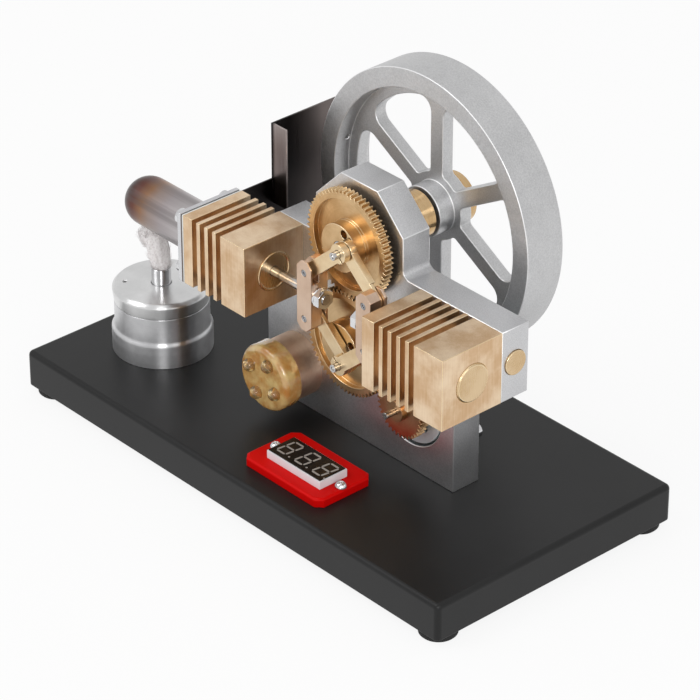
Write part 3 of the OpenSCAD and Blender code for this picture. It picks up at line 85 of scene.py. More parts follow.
class Wire:
    """A shader socket that takes part in Python expressions."""

    def __init__(self, bench: "Bench", socket: bpy.types.NodeSocket) -> None:
        """Keeps the socket and the bench that adds nodes behind it.

        Args:
            bench: The bench of the material that the socket belongs to.
            socket: An output socket.
        """
        self.bench = bench
        self.socket = socket

    def _math(self, operation: str, first: "Wire | float", second: "Wire | float") -> "Wire":
        """Adds one Math node.

        Args:
            operation: The node's operation.
            first: Its first value.
            second: Its second value.

        Returns:
            The node's output.
        """
        return self.bench.add("ShaderNodeMath", {"operation": operation}, {0: first, 1: second})

    def __add__(self, other: "Wire | float") -> "Wire":
        """Sum."""
        return self._math("ADD", self, other)

    def __radd__(self, other: float) -> "Wire":
        """Sum with a number on the left."""
        return self._math("ADD", other, self)

    def __sub__(self, other: "Wire | float") -> "Wire":
        """Difference."""
        return self._math("SUBTRACT", self, other)

    def __rsub__(self, other: float) -> "Wire":
        """Difference from a number on the left."""
        return self._math("SUBTRACT", other, self)

    def __mul__(self, other: "Wire | float") -> "Wire":
        """Product."""
        return self._math("MULTIPLY", self, other)

    def __rmul__(self, other: float) -> "Wire":
        """Product with a number on the left."""
        return self._math("MULTIPLY", other, self)

    def __truediv__(self, other: "Wire | float") -> "Wire":
        """Quotient."""
        return self._math("DIVIDE", self, other)

    def __pow__(self, other: "Wire | float") -> "Wire":
        """Power."""
        return self._math("POWER", self, other)

    def at_least(self, low: "Wire | float") -> "Wire":
        """The larger of this value and low."""
        return self._math("MAXIMUM", self, low)

    def at_most(self, high: "Wire | float") -> "Wire":
        """The smaller of this value and high."""
        return self._math("MINIMUM", self, high)

    def swing(self, amount: float) -> "Wire":
        """How far a noise value is from its middle, times an amount."""
        return (self - NOISE_MIDDLE) * amount

    def between(self, low: float, high: float) -> "Wire":
        """This value as a soft share of the way from low to high.

        Args:
            low: The value that gives 0.
            high: The value that gives 1.

        Returns:
            The share, from 0 to 1.
        """
        return self.bench.add("ShaderNodeMapRange", {"interpolation_type": "SMOOTHSTEP"},
                              {0: self, 1: low, 2: high})


class Bench:
    """The node tree of one material or of the surroundings, where nodes are added."""

    def __init__(self, owner: bpy.types.Material | bpy.types.World, output: str) -> None:
        """Clears the owner's tree and lays out its output.

        Args:
            owner: The material or world to build in.
            output: The type of its output node.
        """
        owner.use_nodes = True
        self.tree = owner.node_tree
        self.tree.nodes.clear()
        self.output = self.tree.nodes.new(output)

    def connect(self, node: bpy.types.Node, sockets: dict[int | str, object]) -> None:
        """Sets or links the input sockets of a node.

        Args:
            node: The node.
            sockets: A value or a wire for each socket's name or number.
        """
        for key, value in sockets.items():
            if isinstance(value, Wire):
                self.tree.links.new(value.socket, node.inputs[key])
            else:
                node.inputs[key].default_value = value

    def add(self, kind: str, settings: dict[str, object], sockets: dict[int | str, object],
            output: int | str = 0) -> Wire:
        """Adds any node.

        Args:
            kind: The node's type.
            settings: Its settings, set first. The key stops holds a ramp's places and colours.
            sockets: Values or wires of its input sockets.
            output: The name or number of the output that is returned.

        Returns:
            That output.
        """
        node = self.tree.nodes.new(kind)
        for key, value in settings.items():
            if key == "stops":
                self.lay_stops(node.color_ramp, value)
            else:
                setattr(node, key, value)
        self.connect(node, sockets)
        return Wire(self, node.outputs[output])

    def lay_stops(self, ramp: bpy.types.ColorRamp, stops: Stops) -> None:
        """Sets the places and colours of a ramp.

        Args:
            ramp: The ramp.
            stops: The place and colour of each stop, in order.
        """
        while len(ramp.elements) < len(stops):
            ramp.elements.new(1.0)
        for element, (place, colour) in zip(ramp.elements, stops):
            element.position = place
            element.color = (*colour, 1.0)

    def show(self, shader: Wire) -> None:
        """Links a shader to the output."""
        self.connect(self.output, {0: shader})

    def principled(self, **sockets: object) -> None:
        """Adds the Principled shader and links it to the output.

        Args:
            sockets: Its socket names, with underscores for spaces, and their values or wires.
        """
        named = {key.replace("_", " "): value for key, value in sockets.items()}
        self.show(self.add("ShaderNodeBsdfPrincipled", {}, named))

    def rays(self, kind: str) -> Wire:
        """One for rays of a kind, such as Camera, and zero for others."""
        return self.add("ShaderNodeLightPath", {}, {}, f"Is {kind} Ray")

    def place(self) -> Wire:
        """The point on the piece, in the row frame at rest, in metres."""
        return self.add("ShaderNodeTexCoord", {}, {}, "Object")

    def parts_of(self, vector: Wire) -> tuple[Wire, Wire, Wire]:
        """The X, Y and Z of a vector.

        Args:
            vector: The vector.

        Returns:
            Its three parts.
        """
        outputs = self.add("ShaderNodeSeparateXYZ", {}, {0: vector}).socket.node.outputs
        return Wire(self, outputs[0]), Wire(self, outputs[1]), Wire(self, outputs[2])

    def vector(self, x: Wire | float, y: Wire | float, z: Wire | float) -> Wire:
        """A vector from three values."""
        return self.add("ShaderNodeCombineXYZ", {}, {0: x, 1: y, 2: z})

    def blend(self, share: Wire, first: Colour | Wire, second: Colour | Wire) -> Wire:
        """Mixes two colours.

        Args:
            share: How much of the second colour there is, from 0 to 1.
            first: The first colour.
            second: The second colour.

        Returns:
            The mixed colour.
        """
        factor_socket, first_socket, second_socket, colour_output = 0, 6, 7, 2
        colours = [each if isinstance(each, Wire) else (*each, 1.0) for each in (first, second)]
        return self.add(
            "ShaderNodeMix", {"data_type": "RGBA", "clamp_factor": True},
            {factor_socket: share, first_socket: colours[0], second_socket: colours[1]},
            colour_output)

    def bump(self, height: Wire, depth: float) -> Wire:
        """A bumped normal.

        Args:
            height: Heights from 0 to 1.
            depth: The real depth of a height of 1, in metres.

        Returns:
            The normal.
        """
        return self.add("ShaderNodeBump", {}, {"Height": height, "Distance": depth})


@dataclass(frozen=True)
class Grain:
    """A noise pattern on a surface, such as clouds, streaks or tool marks.

    Attributes:
        per_metre: Its cells for each metre.
        layers: Its number of finer layers.
        rough: How strong the finer layers are.
        run: How fast it changes along X, Y and Z. A small value draws it out along that axis.
    """

    per_metre: float
    layers: float = 3.0
    rough: float = 0.55
    run: Point = EVEN_RUN

    def on(self, place: Wire) -> Wire:
        """Lays the pattern on a surface.

        Args:
            place: The points of the surface, in metres.

        Returns:
            Values from 0 to 1, around one half.
        """
        if self.run != EVEN_RUN:
            place = place.bench.add("ShaderNodeVectorMath", {"operation": "MULTIPLY"},
                                    {0: place, 1: self.run})
        return place.bench.add("ShaderNodeTexNoise", {}, {
            "Vector": place, "Scale": self.per_metre, "Detail": self.layers,
            "Roughness": self.rough})


def off_axis(first: Wire, second: Wire) -> Wire:
    """The distance from an axis, from the two offsets across it."""
    return (first ** 2.0 + second ** 2.0) ** 0.5


# Finishes

class Cut(Enum):
    """How a metal surface was last worked, which sets the run of its fine marks."""

    MILLED = "milled upwards"
    TURNED_X = "turned around an axis along the cylinders"
    TURNED_Y = "turned around an axis along the shafts"
    TURNED_Z = "turned around an upright axis"
    BLASTED = "bead-blasted"


@dataclass(frozen=True)
class Finish:
    """A finish with a name, whose material is made on first use."""

    name: str

    def material(self) -> bpy.types.Material:
        """The finish's material, built the first time that it is asked for.

        Returns:
            The material.
        """
        label = self.name + "_finish"
        found = bpy.data.materials.get(label)
        if found is None:
            found = bpy.data.materials.new(label)
            self.shade(Bench(found, "ShaderNodeOutputMaterial"))
        return found

    def shade(self, bench: Bench) -> None:
        """Builds the finish's nodes.

        Args:
            bench: The material's bench.
        """
        raise NotImplementedError


@dataclass(frozen=True)
class Metal(Finish):
    """Bare metal with tool marks, a blotchy film and a little spread in its gloss.

    Attributes:
        light: The colour of its clean places.
        dark: The colour of its tarnished places.
        roughness: The middle of its roughness.
        cut: How it was last worked.
        centre: A point on the axis that it was turned around.
        marks_per_metre: How many tool marks there are to a metre.
        depth: The depth of the tool marks.
        blotches_per_metre: How many blotches there are to a metre.
        film: How much the marks and the blotches change the roughness.
        speckle: How much of the colour follows the marks instead of the blotches.
        stretch: How far its highlights are drawn out across the marks.
        stretch_turn: The direction of that, in turns.
        milled_run: How much slower milling marks change along their own direction.
        mark_edges: The noise values where a mark is fully dark and fully light.
        blotch_edges: The same for a blotch.
        least_roughness: What its roughness never goes below.
    """

    light: Colour
    dark: Colour
    roughness: float = 0.30
    cut: Cut = Cut.BLASTED
    centre: Point = (0.0, 0.0, 0.0)
    marks_per_metre: float = 2500.0
    depth: float = 0.020 * MM
    blotches_per_metre: float = 110.0
    film: float = 0.10
    speckle: float = 0.2
    stretch: float = 0.0
    stretch_turn: float = 0.25
    milled_run: float = 0.03
    mark_edges: Span = (0.30, 0.70)
    blotch_edges: Span = (0.32, 0.68)
    least_roughness: float = 0.02

    def marks(self, bench: Bench, place: Wire) -> Wire:
        """The noise that stands for the marks of the tool.

        Args:
            bench: The material's bench.
            place: The point on the piece.

        Returns:
            Values around one half.
        """
        grain = Grain(self.marks_per_metre, layers=2.0)
        if self.cut is Cut.BLASTED:
            return grain.on(place)
        if self.cut is Cut.MILLED:
            return replace(grain, run=(1.0, 1.0, self.milled_run)).on(place)
        x, y, z = bench.parts_of(place)
        middle_x, middle_y, middle_z = self.centre
        if self.cut is Cut.TURNED_X:
            turned = bench.vector(x, off_axis(y - middle_y, z - middle_z), 0.0)
        elif self.cut is Cut.TURNED_Y:
            turned = bench.vector(off_axis(x - middle_x, z - middle_z), y, 0.0)
        else:
            turned = bench.vector(off_axis(x - middle_x, y - middle_y), 0.0, z)
        return grain.on(turned)

    def shade(self, bench: Bench) -> None:
        """Builds the metal's nodes.

        Args:
            bench: The material's bench.
        """
        place = bench.place()
        marks = self.marks(bench, place)
        blotch = Grain(self.blotches_per_metre, layers=4.0, rough=0.6).on(place)
        share = (blotch.between(*self.blotch_edges) * (1.0 - self.speckle)
                 + marks.between(*self.mark_edges) * self.speckle)
        gloss = self.roughness + marks.swing(self.film) + blotch.swing(self.film)
        bench.principled(
            Base_Color=bench.blend(share, self.dark, self.light),
            Metallic=1.0,
            Roughness=gloss.at_least(self.least_roughness),
            Anisotropic=self.stretch,
            Anisotropic_Rotation=self.stretch_turn,
            Normal=bench.bump(marks, self.depth))


@dataclass(frozen=True)
class HeatTinted(Finish):
    """Thin steel tube with the colours that a flame leaves, from its far end to its flange.

    Attributes:
        tip_x: X of its far end.
        root_x: X of its flange, where the steel is clean.
        steel: The colour of the clean steel.
        soot: The colour of the dark streaks.
        tints: The colours that the heat leaves, as shares of the way from the far end.
        haze: The uneven edge of the colours.
        wander: How far that edge moves, as a share of the length.
        streaks: The dark streaks along the tube.
        streak_edges: The noise values where a streak starts and is full.
        streak_share: How much of the streaks shows.
        drawing: The fine marks along the tube.
        depth: Their depth.
        roughness: The middle of its roughness.
        film: How much the haze changes it.
    """

    tip_x: float
    root_x: float
    steel: Colour = (0.55, 0.53, 0.53)
    soot: Colour = (0.16, 0.14, 0.14)
    tints: Stops = (
        (0.00, (0.075, 0.066, 0.062)),
        (0.14, (0.085, 0.060, 0.058)),
        (0.25, (0.16, 0.070, 0.056)),
        (0.36, (0.30, 0.165, 0.095)),
        (0.46, (0.33, 0.255, 0.225)),
        (0.62, (0.385, 0.345, 0.35)))
    haze: Grain = Grain(160.0, run=(0.4, 1.0, 1.0))
    wander: float = 0.10
    streaks: Grain = Grain(420.0, run=(0.02, 1.0, 1.0))
    streak_edges: Span = (0.35, 0.65)
    streak_share: float = 0.45
    drawing: Grain = Grain(2600.0, layers=2.0, run=(0.03, 1.0, 1.0))
    depth: float = 0.012 * MM
    roughness: float = 0.30
    film: float = 0.12

    def shade(self, bench: Bench) -> None:
        """Builds the tinted steel's nodes.

        Args:
            bench: The material's bench.
        """
        place = bench.place()
        x = bench.parts_of(place)[0]
        haze = self.haze.on(place)
        along = (x - self.tip_x) / (self.root_x - self.tip_x) + haze.swing(self.wander)
        stops = (*self.tints, (1.0, self.steel))
        tint = bench.add("ShaderNodeValToRGB", {"stops": stops}, {0: along})
        streak = self.streaks.on(place).between(*self.streak_edges)
        bench.principled(
            Base_Color=bench.blend(streak * self.streak_share, tint, self.soot),
            Metallic=1.0,
            Roughness=self.roughness + haze.swing(self.film),
            Normal=bench.bump(self.drawing.on(place), self.depth))


@dataclass(frozen=True)
class ShadedSheet(Finish):
    """Dark steel sheet with painted shade that darkens it low down and near its fold, and a
    painted highlight that lightens its lip at its top.

    Attributes:
        lip_x: X where the lip leaves the sheet.
        lip_y: Y of the lip's fold.
        low_top: Z of the sheet's lower top edge.
        sheet: The colour of the sheet where it is least dark.
        dark: The colour of the sheet's painted shade, where it is darkest.
        fold: The colour of the painted highlight on the lip at its top.
        lip_fade: The width over which the lip's colour comes in.
        fold_fade: Where the lip's painted highlight comes in, above the lower top edge.
        rise_fade: Where the painted shade on the sheet lifts, above the lower top edge.
        low_share: How light the sheet is below that.
        back_fade: Where the painted shade lifts, behind the fold.
        front_fade: Where the painted shade comes in, in front of the fold.
        clouds: The uneven edge between its light and dark places.
        cloud_amount: How much the clouds move that edge.
        brushing: The upright marks in the sheet.
        fold_share: How much of the fold's colour shows.
        fold_film: How much the marks change that.
        depth: The depth of the marks.
        roughness: The middle of its roughness.
        film: How much the marks change it.
    """

    lip_x: float
    lip_y: float
    low_top: float
    sheet: Colour = (0.16, 0.135, 0.128)
    dark: Colour = (0.024, 0.021, 0.021)
    fold: Colour = (0.46, 0.40, 0.385)
    lip_fade: float = 1.0 * MM
    fold_fade: Span = (-1.0 * MM, 3.0 * MM)
    rise_fade: Span = (2.0 * MM, 16.0 * MM)
    low_share: float = 0.25
    back_fade: Span = (3.0 * MM, 18.0 * MM)
    front_fade: Span = (-30.0 * MM, -6.0 * MM)
    clouds: Grain = Grain(42.0)
    cloud_amount: float = 0.5
    brushing: Grain = Grain(1100.0, layers=2.0, run=(1.0, 1.0, 0.03))
    fold_share: float = 0.75
    fold_film: float = 0.6
    depth: float = 0.010 * MM
    roughness: float = 0.30
    film: float = 0.14

    def shade(self, bench: Bench) -> None:
        """Builds the sheet's nodes.

        Args:
            bench: The material's bench.
        """
        place = bench.place()
        x, y, z = bench.parts_of(place)
        above = z - self.low_top
        behind = y - self.lip_y
        brushed = self.brushing.on(place)
        # Painted shade: darker low down and near the fold, lighter higher up, well behind the fold
        # and far in front of it.
        raised = self.low_share + above.between(*self.rise_fade) * (1.0 - self.low_share)
        back = behind.between(*self.back_fade) * raised
        front = 1.0 - behind.between(*self.front_fade)
        share = back.at_least(front) + self.clouds.on(place).swing(self.cloud_amount)
        sheet = bench.blend(share.at_least(0.0).at_most(1.0), self.dark, self.sheet)
        # Painted highlight along the top of the lip.
        lip_highlight = above.between(*self.fold_fade) * (self.fold_share + brushed.swing(self.fold_film))
        lip = bench.blend(lip_highlight, self.sheet, self.fold)
        on_lip = x.between(self.lip_x, self.lip_x + self.lip_fade)
        bench.principled(
            Base_Color=bench.blend(on_lip, sheet, lip),
            Metallic=1.0,
            Roughness=self.roughness + brushed.swing(self.film),
            Normal=bench.bump(brushed, self.depth))


@dataclass(frozen=True)
class Coating(Finish):
    """Paint, plastic or rubber: two close colours in clouds, with a fine skin.

    Attributes:
        colour: Its colour.
        second: The colour of its clouds.
        roughness: The middle of its roughness.
        grain_per_metre: How many grains of its skin there are to a metre.
        depth: The depth of that skin.
        specular: The strength of its reflections.
        clouds: The pattern of its clouds.
        cloud_edges: The noise values where a cloud starts and is full.
        cloud_film: How much the clouds change the roughness.
        grain_film: How much the skin changes it.
    """

    colour: Colour
    second: Colour
    roughness: float
    grain_per_metre: float
    depth: float
    specular: float = 0.5
    clouds: Grain = Grain(45.0, layers=4.0)
    cloud_edges: Span = (0.3, 0.7)
    cloud_film: float = 0.08
    grain_film: float = 0.06

    def shade(self, bench: Bench) -> None:
        """Builds the coating's nodes.

        Args:
            bench: The material's bench.
        """
        place = bench.place()
        grain = Grain(self.grain_per_metre, layers=2.0).on(place)
        cloud = self.clouds.on(place)
        bench.principled(
            Base_Color=bench.blend(cloud.between(*self.cloud_edges), self.colour, self.second),
            Roughness=self.roughness + cloud.swing(self.cloud_film) + grain.swing(self.grain_film),
            Specular_IOR_Level=self.specular,
            Normal=bench.bump(grain, self.depth))


@dataclass(frozen=True)
class ClearCast(Finish):
    """Clear cast plastic with a cloudy inside.

    Attributes:
        colour: Its colour.
        second: The colour of its clouds.
        clear: How much light it lets through.
        roughness: The middle of its roughness.
        clouds_per_metre: How many clouds there are to a metre.
        depth: The depth of the ripples in its surface.
        coat: How glossy its poured skin is.
        coat_roughness: The roughness of that skin.
        refraction: How strongly it bends light.
        ripples: The pattern of its ripples.
        cloud_edges: The noise values where a cloud starts and is full.
        film: How much the clouds change the roughness.
    """

    colour: Colour
    second: Colour
    clear: float
    roughness: float
    clouds_per_metre: float
    depth: float
    coat: float
    coat_roughness: float = 0.03
    refraction: float = 1.49
    ripples: Grain = Grain(380.0, layers=2.0)
    cloud_edges: Span = (0.3, 0.7)
    film: float = 0.05

    def shade(self, bench: Bench) -> None:
        """Builds the plastic's nodes.

        Args:
            bench: The material's bench.
        """
        place = bench.place()
        cloud = Grain(self.clouds_per_metre).on(place)
        bench.principled(
            Base_Color=bench.blend(cloud.between(*self.cloud_edges), self.colour, self.second),
            Roughness=self.roughness + cloud.swing(self.film),
            Transmission_Weight=self.clear,
            IOR=self.refraction,
            Coat_Weight=self.coat,
            Coat_Roughness=self.coat_roughness,
            Normal=bench.bump(self.ripples.on(place), self.depth))


@dataclass(frozen=True)
class Cotton(Finish):
    """Soft white cotton yarn.

    Attributes:
        colour: The colour of its outer fibres.
        fibre_gap_shade: The colour of the painted shade between the fibres.
        fluff: The pattern of the fibres.
        fluff_edges: The noise values of full painted shade between fibres and of a full fibre.
        depth: The depth between the fibres.
        roughness: Its roughness.
        sheen: The strength of its soft rim.
    """

    colour: Colour = (0.90, 0.87, 0.865)
    # Painted shade in the hollows between the fibres.
    fibre_gap_shade: Colour = (0.66, 0.61, 0.605)
    fluff: Grain = Grain(1500.0, layers=4.0, rough=0.65)
    fluff_edges: Span = (0.25, 0.60)
    depth: float = 0.20 * MM
    roughness: float = 0.95
    sheen: float = 0.3

    def shade(self, bench: Bench) -> None:
        """Builds the yarn's nodes.

        Args:
            bench: The material's bench.
        """
        fluff = self.fluff.on(bench.place())
        # The fibre pattern mixes the fibres' colour with the painted shade between them.
        bench.principled(
            Base_Color=bench.blend(fluff.between(*self.fluff_edges), self.fibre_gap_shade, self.colour),
            Roughness=self.roughness,
            Sheen_Weight=self.sheen,
            Normal=bench.bump(fluff, self.depth))


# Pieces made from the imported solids

def put_in_scene(name: str, data: bpy.types.ID) -> bpy.types.Object:
    """Adds an object to the scene.

    Args:
        name: Its name.
        data: Its mesh, lamp or camera.

    Returns:
        The object.
    """
    added = bpy.data.objects.new(name, data)
    bpy.context.scene.collection.objects.link(added)
    return added


def smooth(mesh: bpy.types.Mesh) -> None:
    """Shades every face of a mesh smoothly."""
    for face in mesh.polygons:
        face.use_smooth = True


def freeze(piece: bpy.types.Object) -> None:
    """Turns a piece's modifiers into its own mesh, with smooth shading.

    Args:
        piece: The piece.
    """
    smooth(piece.data)
    piece.data.set_sharp_from_angle(angle=SHARP_ANGLE)
    graph = bpy.context.evaluated_depsgraph_get()
    graph.update()
    mesh = bpy.data.meshes.new_from_object(piece.evaluated_get(graph))
    mesh.name = piece.name
    piece.modifiers.clear()
    piece.data = mesh


def stand_for(piece: bpy.types.Object, node: str) -> None:
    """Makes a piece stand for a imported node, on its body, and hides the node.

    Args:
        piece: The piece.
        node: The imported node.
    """
    body = frame["nodes"][node]["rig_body"]
    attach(piece, body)
    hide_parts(node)
    LOG.info("%s rides on %s for %s", piece.name, body, node)


@dataclass(frozen=True)
class EdgeBreak:
    """The small rounded or chamfered break on the edges of a piece.

    Attributes:
        width: Its width.
        segments: How many faces it has, 1 for a chamfer.
        triangles: Whether the flat faces are cut into triangles first, for outlines with holes.
        least_angle: The angle between two faces from which their edge is broken.
    """

    width: float
    segments: int
    triangles: bool = False
    least_angle: float = math.radians(30.0)

    def whole_faced(self, node: str) -> bpy.types.Mesh:
        """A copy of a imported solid's mesh whose flat faces are whole again.

        Args:
            node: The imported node.

        Returns:
            The mesh, without materials.
        """
        mesh = frame["nodes"][node].data.copy()
        mesh.materials.clear()
        shape = bmesh.new()
        shape.from_mesh(mesh)
        bmesh.ops.remove_doubles(shape, verts=shape.verts, dist=MERGE)
        bmesh.ops.dissolve_limit(
            shape, angle_limit=FLAT_ANGLE, verts=shape.verts, edges=shape.edges)
        if self.triangles:
            bmesh.ops.triangulate(shape, faces=shape.faces, ngon_method="BEAUTY")
        shape.to_mesh(mesh)
        shape.free()
        return mesh

    def piece(self, node: str, finish: Finish, edge: Finish | None = None) -> None:
        """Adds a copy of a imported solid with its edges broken, which stands for it.

        Args:
            node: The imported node.
            finish: The finish of its faces.
            edge: The finish of its broken edges, or None for the same one.
        """
        mesh = self.whole_faced(node)
        piece = put_in_scene(node + "_piece", mesh)
        for each in (finish, edge or finish):
            mesh.materials.append(each.material())
        bevel = piece.modifiers.new("edge_break", "BEVEL")
        bevel.width = self.width
        bevel.segments = self.segments
        bevel.limit_method = "ANGLE"
        bevel.angle_limit = self.least_angle
        bevel.use_clamp_overlap = False
        bevel.loop_slide = False
        bevel.material = 1 if edge else -1    # the second material, or that of the faces
        normals = piece.modifiers.new("flat_faces", "WEIGHTED_NORMAL")
        normals.keep_sharp = True
        freeze(piece)
        stand_for(piece, node)


# Finishes of this engine

PLUG_AXIS: Point = (0.0, 0.0, 63.5 * MM)
UPPER_AXIS: Point = (12.5 * MM, 0.0, 79.5 * MM)
LOWER_AXIS: Point = (12.5 * MM, 0.0, 47.5 * MM)
GENERATOR_AXIS: Point = (34.1 * MM, 0.0, 35.42 * MM)
LAMP_AXIS: Point = (-12.8 * MM, 0.0, 28.1 * MM)
BURNER_AXIS: Point = (-65.7 * MM, -12.4 * MM, 0.0)

BLACK_COAT = Coating(
    "black_coat", (0.0085, 0.0085, 0.0087), (0.0115, 0.0115, 0.0117), roughness=0.38,
    grain_per_metre=2600.0, depth=0.014 * MM, specular=0.28)
FOOT_RUBBER = Coating(
    "foot_rubber", (0.016, 0.016, 0.016), (0.024, 0.024, 0.024), roughness=0.80,
    grain_per_metre=1800.0, depth=0.040 * MM, specular=0.30)
GASKET_WHITE = Coating(
    "gasket_white", (0.76, 0.76, 0.74), (0.68, 0.68, 0.66), roughness=0.80,
    grain_per_metre=2000.0, depth=0.030 * MM)
RED_ANODISED = Coating(
    "red_anodised", (0.66, 0.0012, 0.0006), (0.58, 0.0010, 0.0005), roughness=0.42,
    grain_per_metre=3600.0, depth=0.012 * MM, specular=0.10)
METER_WHITE = Coating(
    "meter_white", (0.80, 0.78, 0.80), (0.74, 0.72, 0.74), roughness=0.42,
    grain_per_metre=2400.0, depth=0.010 * MM)
METER_WINDOW = Coating(
    "meter_window", (0.009, 0.0065, 0.0055), (0.007, 0.005, 0.0045), roughness=0.22,
    grain_per_metre=3600.0, depth=0.003 * MM, specular=0.22)
FIGURE_WHITE = Coating(
    "figure_white", (0.40, 0.365, 0.33), (0.30, 0.27, 0.245), roughness=0.50,
    grain_per_metre=2400.0, depth=0.010 * MM)
GRAPHITE = Coating(
    "graphite", (0.055, 0.055, 0.060), (0.035, 0.035, 0.040), roughness=0.40,
    grain_per_metre=2600.0, depth=0.010 * MM)

BLASTED_ALUMINIUM = Metal(
    "blasted_aluminium", (0.70, 0.70, 0.71), (0.55, 0.55, 0.56), roughness=0.39,
    marks_per_metre=2600.0, depth=0.040 * MM, speckle=0.7)
FLYWHEEL_RIM = Metal(
    "flywheel_rim", (0.66, 0.66, 0.665), (0.52, 0.52, 0.525), roughness=0.44,
    marks_per_metre=2300.0, depth=0.060 * MM, speckle=0.7)
# Broken edges lighter than the faces: partly the real shine of rubbed edges, partly a painted
# highlight of light catching them.
LIT_RUBBED_EDGE = Metal(
    "lit_rubbed_edge", (0.88, 0.88, 0.88), (0.80, 0.80, 0.81), roughness=0.50, depth=0.004 * MM)

MILLED_BRASS = Metal(
    "milled_brass", (0.88, 0.70, 0.50), (0.62, 0.40, 0.22), roughness=0.36, cut=Cut.MILLED,
    marks_per_metre=2600.0, depth=0.010 * MM, blotches_per_metre=95.0)
# Brass edges lighter than the faces: partly the real shine of rubbed brass, partly a painted
# highlight of light catching them.
LIT_BRASS_EDGE = Metal(
    "lit_brass_edge", (0.90, 0.74, 0.50), (0.80, 0.62, 0.38), roughness=0.24, depth=0.004 * MM)
PLUG_BRASS = Metal(
    "plug_brass", (0.74, 0.56, 0.35), (0.60, 0.42, 0.23), roughness=0.28, cut=Cut.TURNED_X,
    centre=PLUG_AXIS, depth=0.008 * MM)
SHAFT_BRASS = Metal(
    "shaft_brass", (0.70, 0.50, 0.28), (0.52, 0.34, 0.16), roughness=0.18, cut=Cut.TURNED_Y,
    centre=UPPER_AXIS, depth=0.006 * MM)
UPPER_GEAR_BRASS = Metal(
    "upper_gear_brass", (0.74, 0.53, 0.30), (0.54, 0.35, 0.17), roughness=0.32,
    cut=Cut.TURNED_Y, centre=UPPER_AXIS, depth=0.010 * MM)
LOWER_GEAR_BRASS = replace(UPPER_GEAR_BRASS, name="lower_gear_brass", centre=LOWER_AXIS)
SMALL_GEAR_BRASS = Metal(
    "small_gear_brass", (0.62, 0.40, 0.22), (0.45, 0.26, 0.13), cut=Cut.TURNED_Y,
    centre=GENERATOR_AXIS, depth=0.010 * MM)
ROD_BRASS = Metal(
    "rod_brass", (0.86, 0.69, 0.45), (0.68, 0.49, 0.28), roughness=0.32,
    marks_per_metre=4200.0, depth=0.012 * MM)
YOKE_BRONZE = Metal(
    "yoke_bronze", (0.72, 0.545, 0.42), (0.58, 0.41, 0.30), roughness=0.34, cut=Cut.MILLED,
    depth=0.010 * MM)
COPPER_WIRE = Metal(
    "copper_wire", (0.70, 0.30, 0.14), (0.50, 0.18, 0.08), cut=Cut.TURNED_Y,
    centre=GENERATOR_AXIS)

GROUND_STEEL = Metal(
    "ground_steel", (0.58, 0.57, 0.56), (0.44, 0.43, 0.42), roughness=0.20, depth=0.006 * MM)
SCREW_STEEL = Metal(
    "screw_steel", (0.40, 0.40, 0.41), (0.26, 0.26, 0.27), depth=0.010 * MM)
BRIGHT_NICKEL = Metal(
    "bright_nickel", (0.76, 0.76, 0.77), (0.62, 0.62, 0.63), roughness=0.12, depth=0.004 * MM,
    film=0.05)
FLANGE_STEEL = Metal(
    "flange_steel", (0.72, 0.72, 0.73), (0.62, 0.62, 0.64), roughness=0.26, cut=Cut.MILLED,
    depth=0.008 * MM)
PLATED_CAN = Metal(
    "plated_can", (0.80, 0.87, 0.89), (0.70, 0.77, 0.79), roughness=0.58, cut=Cut.TURNED_Y,
    centre=GENERATOR_AXIS, depth=0.006 * MM)
LAMP_METAL = Metal(
    "lamp_metal", (0.84, 0.64, 0.48), (0.66, 0.42, 0.29), roughness=0.46, cut=Cut.TURNED_Y,
    centre=LAMP_AXIS, depth=0.006 * MM)
BURNER_SIDE = Metal(
    "burner_steel", (0.72, 0.72, 0.73), (0.56, 0.56, 0.57), cut=Cut.TURNED_Z,
    centre=BURNER_AXIS, marks_per_metre=3000.0, depth=0.010 * MM, film=0.06, stretch=0.9)
BURNER_LID = Metal(
    "burner_lid_steel", (0.80, 0.80, 0.80), (0.70, 0.70, 0.70), roughness=0.32,
    cut=Cut.TURNED_Z, centre=BURNER_AXIS, marks_per_metre=4200.0, depth=0.012 * MM, film=0.06,
    stretch=0.9)

HOT_STEEL = HeatTinted("hot_steel", tip_x=-73.9 * MM, root_x=-40.4 * MM)
# The heat shield, with painted shade on the sheet and a painted highlight on the top of its lip.
SHIELD_STEEL = ShadedSheet("shield_steel", lip_x=-38.25 * MM, lip_y=8.2 * MM, low_top=73.9 * MM)
AMBER_LENS = ClearCast(
    "amber_lens", (0.96, 0.72, 0.30), (0.68, 0.32, 0.075), clear=0.38, roughness=0.05,
    clouds_per_metre=230.0, depth=0.30 * MM, coat=1.0)
LAMP_DIODE = ClearCast(
    "lamp_diode", (0.95, 0.78, 0.42), (0.86, 0.58, 0.22), clear=0.90, roughness=0.02,
    clouds_per_metre=500.0, depth=0.10 * MM, coat=0.3)
WICK_COTTON = Cotton("wick_cotton")


# Sub-assemblies

@dataclass
class SubAssembly:
    """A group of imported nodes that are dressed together.

    Attributes:
        small: The edge break of its small and thin pieces.
        fine: The edge break of its other pieces.
    """

    small: EdgeBreak = EdgeBreak(0.06 * MM, segments=1)
    fine: EdgeBreak = EdgeBreak(0.12 * MM, segments=2)

    def build(self) -> None:
        """Builds and dresses the group's pieces."""
        raise NotImplementedError


@dataclass
class Base(SubAssembly):
    """Black coated plate on rubber feet, with the screws that hold the frame plate."""

    plate_edge: EdgeBreak = EdgeBreak(0.20 * MM, segments=2)

    def build(self) -> None:
        """Dresses the plate, the feet and the screws."""
        self.plate_edge.piece("base_plate", BLACK_COAT)
        self.fine.piece("rubber_feet", FOOT_RUBBER)
        self.fine.piece("frame_screws", SCREW_STEEL)


